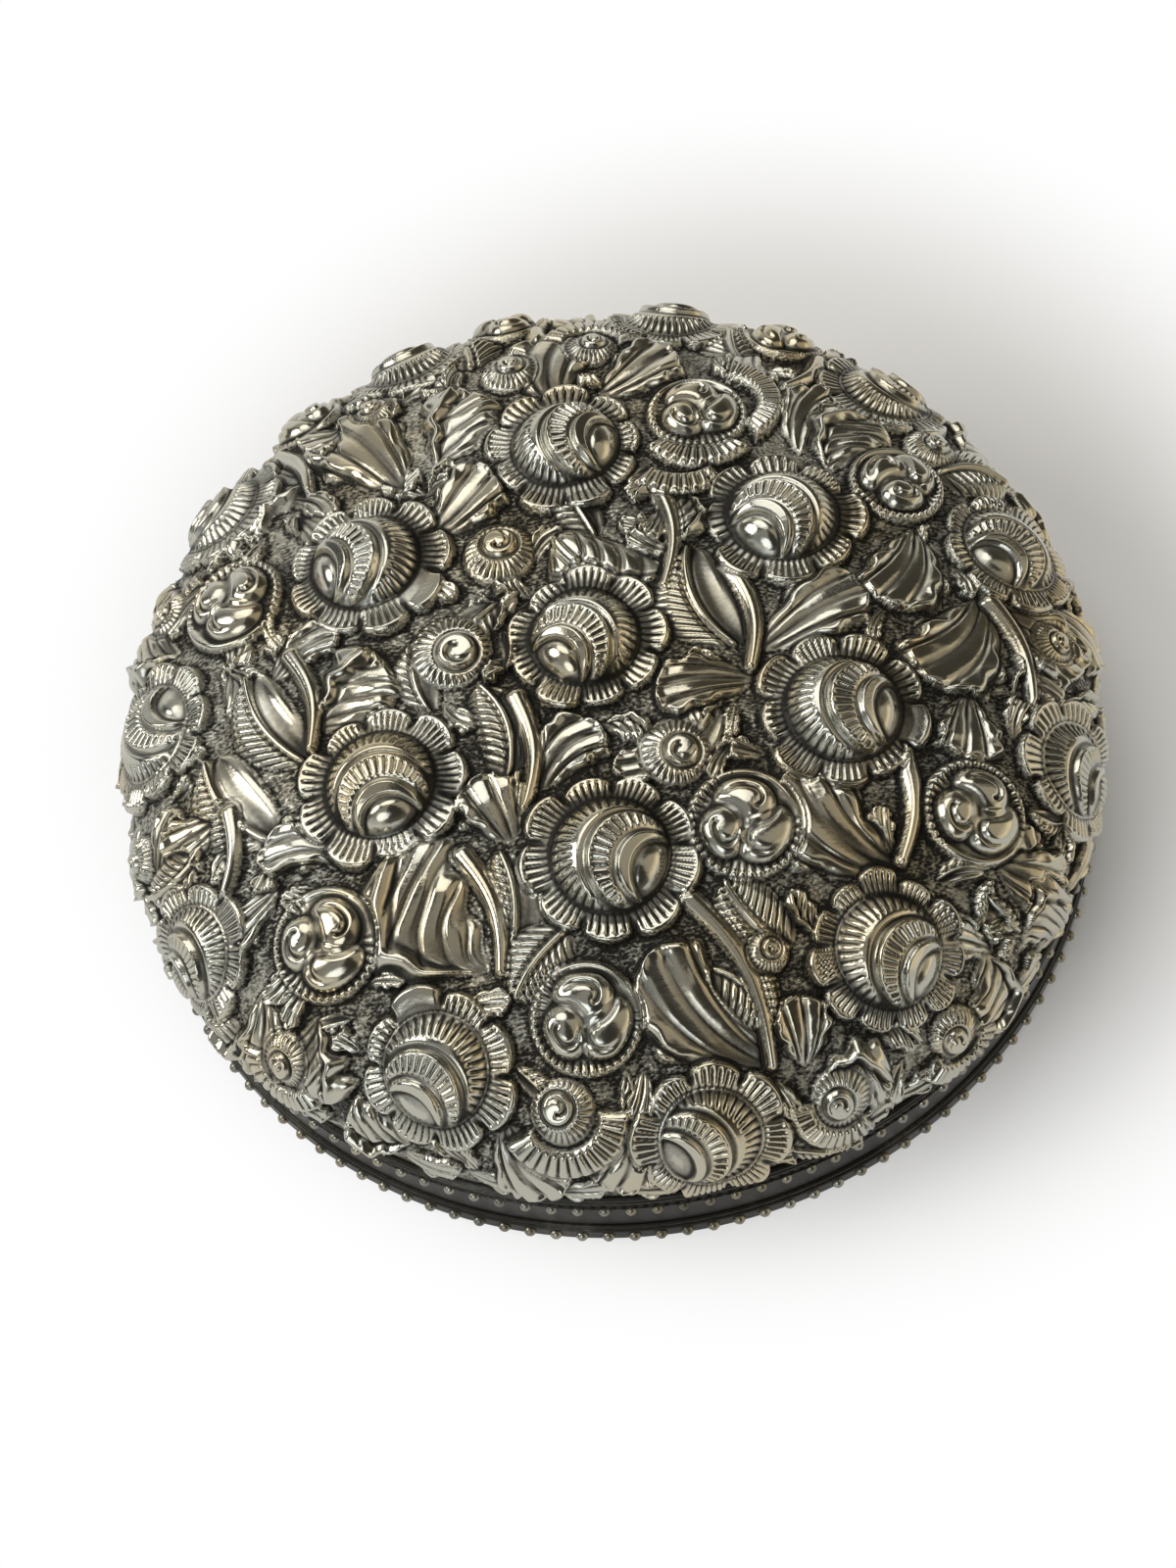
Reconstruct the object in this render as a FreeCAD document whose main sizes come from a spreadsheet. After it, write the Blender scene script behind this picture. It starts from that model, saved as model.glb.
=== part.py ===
"""Round keepsake box in sheet silver: a lid raised in high floral relief that slips over a collared base.

All lengths are millimetres. The sheet Sizes holds the driving dimensions. The origin is the middle of the
foot rim's underside, +Z is up, and the lid is modelled closed. Places on the crown are given on its flat
plan, right of its apex and away from the viewer, as shares of the arc from the apex to the crown's spring.
"""
import FreeCAD
import Part
import math
import os
import re

import Sketcher

doc = FreeCAD.newDocument("round_box")
sheet = doc.addObject("Spreadsheet::Sheet", "Sizes")

SIZES = (
    ("skirt_outer_radius", 72.2),
    ("skirt_sheet", 0.8),
    ("skirt_height", 11.1),
    ("slip_clearance", 0.5),
    ("collar_wall", 0.8),
    ("collar_top_gap", 0.8),
    ("rim_projection", 0.7),
    ("rim_height", 3.2),
    ("rim_chamfer", 0.5),
    ("plate_thickness", 0.8),
    ("plate_recess", 0.6),
    ("crown_sheet", 0.8),
    ("crown_foot", 1.2),
    ("crown_rise", 30.2),
    ("crown_fullness", 2.45),
    ("crown_sides", 48),
    ("layout_drift_right", -1.3),
    ("layout_drift_away", 0.8),
    ("reed_height", 1.1),
    ("reed_projection", 0.8),
    ("reed_crest", 0.4),
    ("ridge_drop", 0.7),
    ("edge_wire_height", 1.0),
    ("edge_wire_projection", 0.5),
    ("edge_wire_crest", 0.4),
    ("bead_count", 120),
    ("bead_radius", 1.0),
    ("bead_crest_radius", 0.6),
    ("bead_projection", 0.9),
    ("lid_bead_drop", 4.3),
    ("base_bead_height", 1.55),
    ("pad_edge_height", 2.4),
    ("pad_crown", 0.9),
    ("pad_tuck", 0.5),
    ("lining_thickness", 1.3),
    ("lining_gap", 0.3),
    ("lining_drop", 0.6),
    ("petal_count", 8),
    ("petal_reach", 12.2),
    ("petal_rise", 2.4),
    ("heart_radius", 7.9),
    ("heart_rise", 6.0),
    ("rim_heart_drop", 2.0),
    ("scroll_rise", 3.6),
    ("bud_rise", 2.4),
    ("leaf_rise", 2.3),
    ("leaf_edge_rise", 1.1),
    ("boss_root", 4.0),
    ("dome_sides", 8),
)

# The crown is raised in flat courses: the turn where each begins, as a share of the quarter from foot to apex.
COURSE_SHARES = (0.0, 0.1, 0.22, 0.34, 0.47, 0.61, 0.76, 0.9)
ARC_STEPS = 400

# Outline of one petal: angle as a share of the petal's sector, radius as a share of the petals' reach.
PETAL_OUTLINE_SHARES = ((0.0, 0.78), (0.22, 0.98), (0.78, 0.98))
PETAL_CREST_SHARE = 0.88

# Layers of a dome: the angle in degrees up from its foot.
DOME_LIFTS = (0, 40, 70)

# Outline of a leaf: along as a share of half its length, out as a share of half its width.
LEAF_OUTLINE_SHARES = ((1.0, 0.0), (0.5, 0.9), (-0.5, 0.9), (-1.0, 0.0), (-0.5, -0.9), (0.5, -0.9))
LEAF_CREST_SHARE = 0.55

# Hearts are lower towards the rim: from this share of the arc on, reaching the full drop at the second.
RIM_LOW_SHARES = (0.6, 0.9)

# The pad's crown is level out to this share of its radius.
PAD_TOP_SHARE = 0.86

# Roses: right, away, size as a share of the full rose.
ROSE_SHARES = (
    (0.0, 0.0, 1.0),
    (0.018, 0.402, 1.0),
    (0.361, 0.19, 1.0),
    (0.398, -0.194, 1.02),
    (-0.014, -0.395, 1.04),
    (-0.367, -0.198, 1.0),
    (-0.347, 0.232, 1.02),
    (-0.351, -0.679, 0.98),
    (0.409, -0.603, 0.98),
    (0.079, -0.845, 0.84),
    (-0.775, 0.053, 0.92),
    (-0.75, -0.368, 0.86),
    (0.76, 0.129, 0.95),
    (0.818, -0.29, 0.88),
    (0.61, 0.515, 0.92),
    (0.25, 0.77, 0.92),
    (-0.25, 0.77, 0.92),
    (-0.63, 0.5, 0.92),
)

# Scroll flowers: right, away, radius.
SCROLL_SHARES = (
    (0.208, -0.374, 0.098),
    (-0.499, -0.44, 0.098),
    (-0.093, -0.648, 0.094),
    (0.592, -0.384, 0.094),
    (0.254, 0.444, 0.1),
    (0.575, 0.257, 0.086),
    (-0.596, 0.236, 0.098),
    (0.45, 0.68, 0.08),
    (-0.06, 0.83, 0.08),
    (-0.46, 0.68, 0.08),
)

# Buds: right, away, radius.
BUD_SHARES = (
    (0.115, -0.232, 0.062),
    (-0.121, 0.198, 0.064),
    (-0.225, 0.024, 0.072),
    (-0.062, 0.624, 0.054),
    (-0.157, -0.785, 0.075),
    (0.31, -0.83, 0.07),
    (0.53, -0.745, 0.07),
    (-0.625, -0.6, 0.07),
    (0.8, -0.06, 0.044),
    (-0.86, -0.16, 0.044),
    (0.09, 0.66, 0.06),
    (0.66, 0.36, 0.05),
    (-0.74, 0.3, 0.05),
)

# Broad leaves: base right and away, tip right and away, width.
LEAF_SHARES = (
    (-0.235, -0.545, -0.36, -0.315, 0.2),
    (-0.205, -0.535, -0.188, -0.355, 0.1),
    (-0.165, -0.345, -0.212, -0.225, 0.13),
    (-0.16, -0.232, -0.186, -0.055, 0.1),
    (-0.11, -0.262, 0.0, -0.165, 0.11),
    (-0.475, -0.07, -0.355, 0.055, 0.14),
    (-0.49, -0.12, -0.575, 0.07, 0.12),
    (-0.42, -0.33, -0.59, -0.27, 0.1),
    (-0.57, -0.24, -0.665, -0.06, 0.14),
    (0.27, -0.118, 0.1, -0.132, 0.11),
    (0.142, 0.1, -0.028, 0.206, 0.14),
    (0.248, -0.05, 0.194, 0.15, 0.13),
    (0.282, -0.065, 0.475, 0.045, 0.12),
    (0.445, -0.475, 0.282, -0.302, 0.16),
    (0.25, -0.585, 0.158, -0.462, 0.12),
    (0.418, 0.34, 0.485, 0.49, 0.12),
    (0.462, 0.29, 0.562, 0.42, 0.12),
    (0.59, 0.165, 0.508, -0.005, 0.14),
    (0.68, 0.02, 0.545, -0.15, 0.16),
    (0.7, -0.005, 0.875, -0.075, 0.15),
    (-0.43, 0.475, -0.65, 0.43, 0.19),
    (-0.27, 0.38, -0.42, 0.59, 0.16),
    (-0.21, 0.415, -0.16, 0.6, 0.13),
    (-0.245, 0.262, -0.122, 0.384, 0.12),
    (0.012, 0.525, 0.03, 0.71, 0.16),
    (0.09, 0.53, 0.225, 0.635, 0.13),
    (0.195, -0.765, 0.02, -0.565, 0.16),
    (-0.54, -0.545, -0.555, -0.69, 0.12),
    (0.58, -0.61, 0.62, -0.76, 0.12),
    (0.62, -0.17, 0.605, -0.295, 0.12),
    (0.62, -0.47, 0.76, -0.5, 0.12),
    (0.66, 0.3, 0.8, 0.3, 0.12),
    (0.5, 0.56, 0.55, 0.66, 0.12),
    (0.35, 0.6, 0.36, 0.74, 0.12),
    (0.1, 0.78, 0.06, 0.93, 0.12),
    (-0.13, 0.68, -0.16, 0.8, 0.12),
    (-0.36, 0.82, -0.46, 0.82, 0.12),
    (-0.6, 0.64, -0.7, 0.62, 0.12),
    (-0.72, 0.2, -0.86, 0.26, 0.12),
    (-0.64, -0.48, -0.72, -0.62, 0.12),
    (-0.26, -0.78, -0.2, -0.9, 0.12),
    (0.12, -0.6, 0.2, -0.7, 0.1),
    (-0.1, -0.5, -0.2, -0.6, 0.1),
)


def fill_sheet():
    """Write each driving dimension into the sheet as a plain number with its alias."""
    for row, (alias, number) in enumerate(SIZES, 1):
        sheet.set(f"A{row}", alias)
        sheet.set(f"B{row}", str(number))
        sheet.setAlias(f"B{row}", alias)
    doc.recompute()


def size(alias):
    """The number that the sheet holds under an alias."""
    return float(sheet.get(alias))


def bound(expression):
    """The expression with each alias written as a reference to the sheet."""
    aliases = {alias for alias, _ in SIZES}
    return re.sub(r"[a-z_]+", lambda word: ("Sizes." if word[0] in aliases else "") + word[0], expression)


def measure(expression):
    """The value that an expression of aliases has now."""
    return float(sheet.evalExpression(expression))


def body_sketch(body, name, role):
    """A sketch on one of the body's own origin planes."""
    sketch = body.newObject("Sketcher::SketchObject", name)
    plane = next(feature for feature in body.Origin.OriginFeatures if feature.Role == role)
    sketch.AttachmentSupport = [(plane, "")]
    sketch.MapMode = "FlatFace"
    return sketch


def pin(sketch, geometry, end, radius, height):
    """Hold one end of a line at a radius and a height, each an expression of aliases."""
    for kind, axis, expression in (("DistanceX", -2, radius), ("DistanceY", -1, height)):
        if expression == "0":
            sketch.addConstraint(Sketcher.Constraint("PointOnObject", geometry, end, axis))
            continue
        index = sketch.addConstraint(Sketcher.Constraint(kind, -1, 1, geometry, end, measure(expression)))
        sketch.setExpression(f"Constraints[{index}]", bound(expression))


def straight_outline(sketch, corners):
    """Close a straight outline through corners given as (radius, height) expressions."""
    points = [FreeCAD.Vector(measure(radius), measure(height), 0) for radius, height in corners]
    lines = [Part.LineSegment(point, points[(i + 1) % len(points)]) for i, point in enumerate(points)]
    sketch.addGeometry(lines, False)
    for i, (radius, height) in enumerate(corners):
        sketch.addConstraint(Sketcher.Constraint("Coincident", i, 2, (i + 1) % len(corners), 1))
        pin(sketch, i, 1, radius, height)


def revolve(body, sketch):
    """Turn a sketch on the XZ plane once round the Z axis."""
    turned = body.newObject("PartDesign::Revolution", sketch.Name + "_turned")
    turned.Profile = sketch
    turned.ReferenceAxis = (sketch, ["V_Axis"])
    turned.Angle = 360
    body.Tip = turned


def turned_body(name, corners):
    """A body of revolution with a straight outline."""
    body = doc.addObject("PartDesign::Body", name)
    sketch = body_sketch(body, name + "_outline", "XZ_Plane")
    straight_outline(sketch, corners)
    revolve(body, sketch)
    return body


def ring(name, inner, outer, bottom, top):
    """A plain ring of rectangular section."""
    return turned_body(name, ((inner, bottom), (outer, bottom), (outer, top), (inner, top)))


SKIRT_TOP = "rim_height + skirt_height"
CROWN_SPRING = SKIRT_TOP + " + crown_foot"
SKIRT_INNER = "skirt_outer_radius - skirt_sheet"
COLLAR_OUTER = SKIRT_INNER + " - slip_clearance"
COLLAR_INNER = COLLAR_OUTER + " - collar_wall"
COLLAR_TOP = SKIRT_TOP + " - collar_top_gap"
PLATE_TOP = "plate_recess + plate_thickness"
RIM_OUTER = "skirt_outer_radius + rim_projection"
LINING_OUTER = COLLAR_INNER + " - lining_gap"
LINING_INNER = LINING_OUTER + " - lining_thickness"
PAD_RADIUS = LINING_INNER + " - lining_gap"


def base_pieces():
    """Foot rim, bottom plate and collar of the base."""
    rim = turned_body("base_rim", (
        (COLLAR_OUTER, "0"),
        (RIM_OUTER, "0"),
        (RIM_OUTER, "rim_height - rim_chamfer"),
        (RIM_OUTER + " - rim_chamfer", "rim_height"),
        (COLLAR_OUTER, "rim_height"),
    ))
    plate = turned_body("base_plate", (
        ("0", "plate_recess"),
        (COLLAR_OUTER, "plate_recess"),
        (COLLAR_OUTER, PLATE_TOP),
        ("0", PLATE_TOP),
    ))
    collar = ring("base_collar", COLLAR_INNER, COLLAR_OUTER, PLATE_TOP, COLLAR_TOP)
    return [rim, plate, collar]


def soft_pieces():
    """Velvet band inside the collar, and the pad on the bottom with its crown and tucked lower edge."""
    lining = ring("wall_lining", LINING_INNER, LINING_OUTER, PLATE_TOP, COLLAR_TOP + " - lining_drop")
    edge = PLATE_TOP + " + pad_edge_height"
    pad = turned_body("floor_pad", (
        ("0", PLATE_TOP),
        (PAD_RADIUS + " - pad_tuck", PLATE_TOP),
        (PAD_RADIUS, PLATE_TOP + " + pad_edge_height / 2"),
        (PAD_RADIUS + " - pad_tuck", edge),
        ("(" + PAD_RADIUS + f") * {PAD_TOP_SHARE}", edge + " + pad_crown"),
        ("0", edge + " + pad_crown"),
    ))
    return [lining, pad]


def skirt_pieces():
    """Upright band of the lid, the double moulding at its top and the wire along its lower edge."""
    skirt = ring("lid_skirt", SKIRT_INNER, "skirt_outer_radius", "rim_height", SKIRT_TOP)
    foot = SKIRT_TOP + " - ridge_drop"
    waist = foot + " + reed_height"
    head = waist + " + reed_height"
    crest = "skirt_outer_radius + reed_projection"
    flank = "(reed_height - reed_crest) / 2"
    moulding = turned_body("lid_ridge_moulding", (
        ("skirt_outer_radius", foot),
        (crest, foot + " + " + flank),
        (crest, waist + " - " + flank),
        ("skirt_outer_radius + reed_projection / 2", waist),
        (crest, waist + " + " + flank),
        (crest, head + " - " + flank),
        ("skirt_outer_radius", head),
    ))
    face = "skirt_outer_radius + edge_wire_projection"
    rise = "(edge_wire_height - edge_wire_crest) / 2"
    wire = turned_body("lid_edge_wire", (
        ("skirt_outer_radius", "rim_height"),
        (face, "rim_height + " + rise),
        (face, "rim_height + edge_wire_height - " + rise),
        ("skirt_outer_radius", "rim_height + edge_wire_height"),
    ))
    return [skirt, moulding, wire]


def bead_row(name, seat, height):
    """A row of small beads, each drawn in towards its crest, standing on a round wall of radius seat."""
    body = doc.addObject("PartDesign::Body", name)
    body.AllowCompound = True
    bead = body.newObject("PartDesign::AdditiveWedge", name + "_bead")
    for side, sign in (("min", "-"), ("max", "")):
        for axis in "XZ":
            bead.setExpression(axis + side, sign + bound("bead_radius"))
            bead.setExpression(axis + "2" + side, sign + bound("bead_crest_radius"))
    bead.Ymin = 0
    bead.setExpression("Ymax", bound("bead_projection"))
    outward = FreeCAD.Rotation(FreeCAD.Vector(0, 1, 0), FreeCAD.Vector(1, 0, 0))
    bead.Placement = FreeCAD.Placement(FreeCAD.Vector(measure(seat), 0, measure(height)), outward)
    bead.setExpression("Placement.Base.x", bound(seat))
    bead.setExpression("Placement.Base.z", bound(height))
    doc.recompute()
    row = body.newObject("PartDesign::PolarPattern", name + "_row")
    row.Originals = [bead]
    row.Axis = (next(axis for axis in body.Origin.OriginFeatures if axis.Role == "Z_Axis"), [""])
    row.Angle = 360
    row.setExpression("Occurrences", bound("bead_count"))
    body.Tip = row
    return body


def crown_point(turn, inset=0.0):
    """Radius and height of the crown's face, a superellipse: turn is 0 at its foot, a quarter at its apex."""
    power = 2 / size("crown_fullness")
    radius = (size("skirt_outer_radius") - inset) * math.cos(turn) ** power
    height = measure(CROWN_SPRING) + (size("crown_rise") - inset) * math.sin(turn) ** power
    return radius, height


def crown_solid(name, inset):
    """The crown as a filled bun of flat courses, drawn in from its outer face by an inset."""
    layers = [(size("skirt_outer_radius") - inset, measure(SKIRT_TOP))]
    layers += [crown_point(math.pi / 2 * share, inset) for share in COURSE_SHARES]
    solid = doc.addObject("Part::Feature", name)
    solid.Shape = stacked_solid(regular_outline("crown_sides"), layers)
    return solid


def crown_arc():
    """Points of the crown's outer face from the apex down, as (arc length so far, radius, height)."""
    arc = [(0.0,) + crown_point(math.pi / 2)]
    for step in range(1, ARC_STEPS + 1):
        radius, height = crown_point(math.pi / 2 * (1 - step / ARC_STEPS))
        length = arc[-1][0] + math.hypot(radius - arc[-1][1], height - arc[-1][2])
        arc.append((length, radius, height))
    return arc


def on_crown(right, away, heading=0.0):
    """Placement on the crown: local Z is the face's normal, local X points along a heading of the flat plan.

    The layout as a whole drifts off the apex by the sheet's two drifts.
    """
    arc = crown_arc()
    reach_right = right * arc[-1][0] + size("layout_drift_right")
    reach_away = away * arc[-1][0] + size("layout_drift_away")
    length = math.hypot(reach_right, reach_away)
    around = math.atan2(reach_away, reach_right)
    step = next((i for i in range(1, len(arc)) if arc[i][0] >= length), len(arc) - 1)
    before, after = arc[step - 1], arc[step]
    part = (length - before[0]) / (after[0] - before[0])
    radius = before[1] + part * (after[1] - before[1])
    height = before[2] + part * (after[2] - before[2])
    slope = math.atan2(before[2] - after[2], after[1] - before[1])
    face = FreeCAD.Rotation(FreeCAD.Vector(0, 0, 1), math.degrees(around))
    lean = FreeCAD.Rotation(FreeCAD.Vector(0, 1, 0), math.degrees(slope))
    spin = FreeCAD.Rotation(FreeCAD.Vector(0, 0, 1), math.degrees(heading - around))
    place = FreeCAD.Vector(radius * math.cos(around), radius * math.sin(around), height)
    return FreeCAD.Placement(place, face * lean * spin)


def stacked_solid(outline, layers):
    """A solid of flat faces through copies of one outline, each (size, height), lowest first."""
    rings = [[FreeCAD.Vector(x * scale, y * scale, height) for x, y in outline] for scale, height in layers]
    faces = [Part.Face(Part.makePolygon(ring + ring[:1])) for ring in (rings[0], rings[-1])]
    for lower, upper in zip(rings, rings[1:]):
        for i in range(len(outline)):
            j = (i + 1) % len(outline)
            faces.append(Part.Face(Part.makePolygon([lower[i], lower[j], upper[j], upper[i], lower[i]])))
    solid = Part.Solid(Part.Shell(faces))
    if solid.Volume < 0:
        solid.reverse()
    return solid


def boss(name, outline, layers, placement):
    """One boss of the relief, placed on the crown."""
    feature = doc.addObject("Part::Feature", name)
    feature.Shape = stacked_solid(outline, layers)
    feature.Placement = placement
    return feature


def petal_outline():
    """Scalloped outline of a rose's ring of petals, for a reach of one."""
    petals = int(size("petal_count"))
    sector = 2 * math.pi / petals
    turns = [(sector * (petal + along), out) for petal in range(petals) for along, out in PETAL_OUTLINE_SHARES]
    return [(out * math.cos(turn), out * math.sin(turn)) for turn, out in turns]


def regular_outline(alias):
    """Regular outline with the number of sides that the sheet holds, for a radius of one."""
    sides = int(size(alias))
    turns = [2 * math.pi * side / sides for side in range(sides)]
    return [(math.cos(turn), math.sin(turn)) for turn in turns]


def dome(name, radius, rise, place):
    """Boss of one round dome, from its root in the crown up to its crest."""
    rings = [(radius * math.cos(math.radians(lift)), rise * math.sin(math.radians(lift))) for lift in DOME_LIFTS]
    return boss(name, regular_outline("dome_sides"), [(radius, -size("boss_root"))] + rings, place)


def rose_bosses(number, right, away, scale_share):
    """Ring of petals and domed heart of one rose, its heart lower towards the rim."""
    reach = size("petal_reach") * scale_share
    place = on_crown(right, away)
    low, high = RIM_LOW_SHARES
    drop = size("rim_heart_drop") * min(max((math.hypot(right, away) - low) / (high - low), 0), 1)
    layers = [(reach, -size("boss_root")), (reach * PETAL_CREST_SHARE, size("petal_rise"))]
    return [
        boss(f"rose_petals_{number:02d}", petal_outline(), layers, place),
        dome(f"rose_heart_{number:02d}", size("heart_radius") * scale_share, size("heart_rise") - drop, place),
    ]


def leaf_boss(number, base_right, base_away, tip_right, tip_away, width_share):
    """Pointed boss of one broad leaf, highest along its middle."""
    arc = crown_arc()[-1][0]
    along_right, along_away = tip_right - base_right, tip_away - base_away
    half = arc * math.hypot(along_right, along_away) / 2
    outline = [(half * along, arc * width_share / 2 * out) for along, out in LEAF_OUTLINE_SHARES]
    layers = [(1, -size("boss_root")), (1, size("leaf_edge_rise")), (LEAF_CREST_SHARE, size("leaf_rise"))]
    place = on_crown((base_right + tip_right) / 2, (base_away + tip_away) / 2, math.atan2(along_away, along_right))
    return boss(f"leaf_{number:02d}", outline, layers, place)


def crown_piece():
    """Raised sheet of the lid: a bun with its relief, hollowed by a core one sheet smaller."""
    arc = crown_arc()[-1][0]
    bosses = []
    for number, rose in enumerate(ROSE_SHARES, 1):
        bosses.extend(rose_bosses(number, *rose))
    for number, (right, away, radius) in enumerate(SCROLL_SHARES, 1):
        bosses.append(dome(f"scroll_{number:02d}", arc * radius, size("scroll_rise"), on_crown(right, away)))
    for number, (right, away, radius) in enumerate(BUD_SHARES, 1):
        bosses.append(dome(f"bud_{number:02d}", arc * radius, size("bud_rise"), on_crown(right, away)))
    for number, leaf in enumerate(LEAF_SHARES, 1):
        bosses.append(leaf_boss(number, *leaf))
    relief = doc.addObject("Part::MultiFuse", "crown_relief")
    relief.Shapes = [crown_solid("crown_bun", 0)] + bosses
    crown = doc.addObject("Part::Cut", "lid_crown")
    crown.Base = relief
    crown.Tool = crown_solid("crown_core", size("crown_sheet"))
    return crown


def export(pieces):
    """Check every object and write each piece to its own file."""
    doc.recompute()
    for item in doc.Objects:
        if "Invalid" in item.State or "Error" in item.State:
            raise RuntimeError(f"{item.Name} failed: {item.State}")
    os.makedirs("parts", exist_ok=True)
    for piece in pieces:
        if piece.Shape.isNull() or not piece.Shape.isValid():
            raise RuntimeError(f"{piece.Label} has no valid shape")
        piece.Shape.exportStep(f"parts/{piece.Label}.step")
        print(piece.Label, len(piece.Shape.Solids), "solids", round(piece.Shape.Volume, 1), "mm3")


fill_sheet()
PIECES = [crown_piece()] + skirt_pieces()
PIECES.append(bead_row("lid_bead_row", "skirt_outer_radius", SKIRT_TOP + " - lid_bead_drop"))
PIECES += base_pieces()
PIECES.append(bead_row("base_bead_row", RIM_OUTER, "base_bead_height"))
PIECES += soft_pieces()
export(PIECES)
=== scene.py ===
"""Round silver keepsake box: a raised flower crown on a slip lid, bead rows, and a velvet-lined tray."""

import math

import bpy
import numpy as np
from mathutils import Matrix, Vector


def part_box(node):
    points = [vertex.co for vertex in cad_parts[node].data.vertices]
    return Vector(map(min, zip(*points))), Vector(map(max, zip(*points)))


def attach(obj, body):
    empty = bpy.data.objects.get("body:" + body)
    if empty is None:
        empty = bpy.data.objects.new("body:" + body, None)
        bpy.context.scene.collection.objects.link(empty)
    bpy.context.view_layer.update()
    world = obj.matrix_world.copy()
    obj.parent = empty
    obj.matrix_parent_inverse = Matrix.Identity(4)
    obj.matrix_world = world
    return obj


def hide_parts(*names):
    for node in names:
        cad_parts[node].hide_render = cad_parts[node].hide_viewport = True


bl_info = {
    "name": "Round keepsake box",
    "version": (1, 0, 0),
    "blender": (4, 5, 0),
    "location": "View3D > Sidebar > Keepsake box",
    "description": "Raises the flower relief of a round silver box and dresses its rims, beads and velvet",
    "category": "Add Mesh",
}

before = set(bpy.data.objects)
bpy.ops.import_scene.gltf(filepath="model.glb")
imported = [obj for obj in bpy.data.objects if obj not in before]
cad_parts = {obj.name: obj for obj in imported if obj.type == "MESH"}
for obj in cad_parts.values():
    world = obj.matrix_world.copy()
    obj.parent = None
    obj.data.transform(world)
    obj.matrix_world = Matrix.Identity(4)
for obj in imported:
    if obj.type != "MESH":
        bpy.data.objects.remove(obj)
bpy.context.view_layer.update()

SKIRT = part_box("lid_skirt")
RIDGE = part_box("lid_ridge_moulding")
EDGE_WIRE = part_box("lid_edge_wire")
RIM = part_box("base_rim")
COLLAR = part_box("base_collar")
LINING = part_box("wall_lining")
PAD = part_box("floor_pad")

# Motif places are shares of the crown's arc on its flat plan: right of the middle, and away from the front.
# Roses: right, away, reach as a share of the named reach, turn of the eye in degrees, petals.
ROSE_SHARES = (
    (0.0, 0.0, 1.0, 225, 9),
    (0.018, 0.402, 1.02, -20, 9),
    (0.361, 0.19, 1.02, 225, 8),
    (0.398, -0.194, 1.04, -15, 9),
    (-0.014, -0.395, 1.06, -32, 9),
    (-0.367, -0.198, 1.02, -80, 9),
    (-0.347, 0.232, 1.04, 195, 9),
    (-0.351, -0.679, 1.0, 225, 8),
    (0.409, -0.603, 0.98, -35, 11),
    (0.079, -0.872, 0.98, 200, 8),
    (-0.786, 0.053, 0.98, 20, 9),
    (-0.763, -0.374, 0.9, 200, 8),
    (0.76, 0.129, 0.98, 225, 8),
    (0.818, -0.29, 0.92, -30, 8),
    (0.61, 0.515, 0.95, 30, 8),
    (0.25, 0.77, 0.95, 70, 9),
    (-0.25, 0.77, 0.95, 110, 8),
    (-0.63, 0.5, 0.95, 150, 9),
)
# Scrolls: right, away, radius share, turn of the ticked side, turn of the three curls.
SCROLL_SHARES = (
    (0.208, -0.374, 0.098, 235, 70),
    (-0.499, -0.44, 0.098, 230, 40),
    (-0.093, -0.648, 0.094, 235, 75),
    (0.592, -0.384, 0.094, 95, 200),
    (0.254, 0.444, 0.09, 265, 60),
    (0.575, 0.257, 0.086, 285, 90),
    (-0.596, 0.236, 0.098, 70, 190),
    (0.45, 0.68, 0.08, 45, 20),
    (-0.06, 0.83, 0.08, 90, 60),
    (-0.46, 0.68, 0.08, 135, 100),
)
# Buds: right, away, radius share, turn of the eye.
BUD_SHARES = (
    (0.115, -0.232, 0.062, -20),
    (-0.121, 0.198, 0.064, 75),
    (-0.225, 0.024, 0.072, -40),
    (-0.062, 0.624, 0.054, 60),
    (-0.157, -0.785, 0.056, 120),
    (0.31, -0.83, 0.056, 210),
    (0.53, -0.745, 0.05, 240),
    (0.212, -0.587, 0.036, 45),
    (-0.312, 0.603, 0.042, 120),
    (-0.625, -0.6, 0.05, 200),
    (0.8, -0.06, 0.044, 0),
    (-0.86, -0.16, 0.044, 180),
    (0.09, 0.66, 0.05, 45),
    (0.66, 0.36, 0.05, 20),
    (-0.74, 0.3, 0.05, 160),
)
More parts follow.
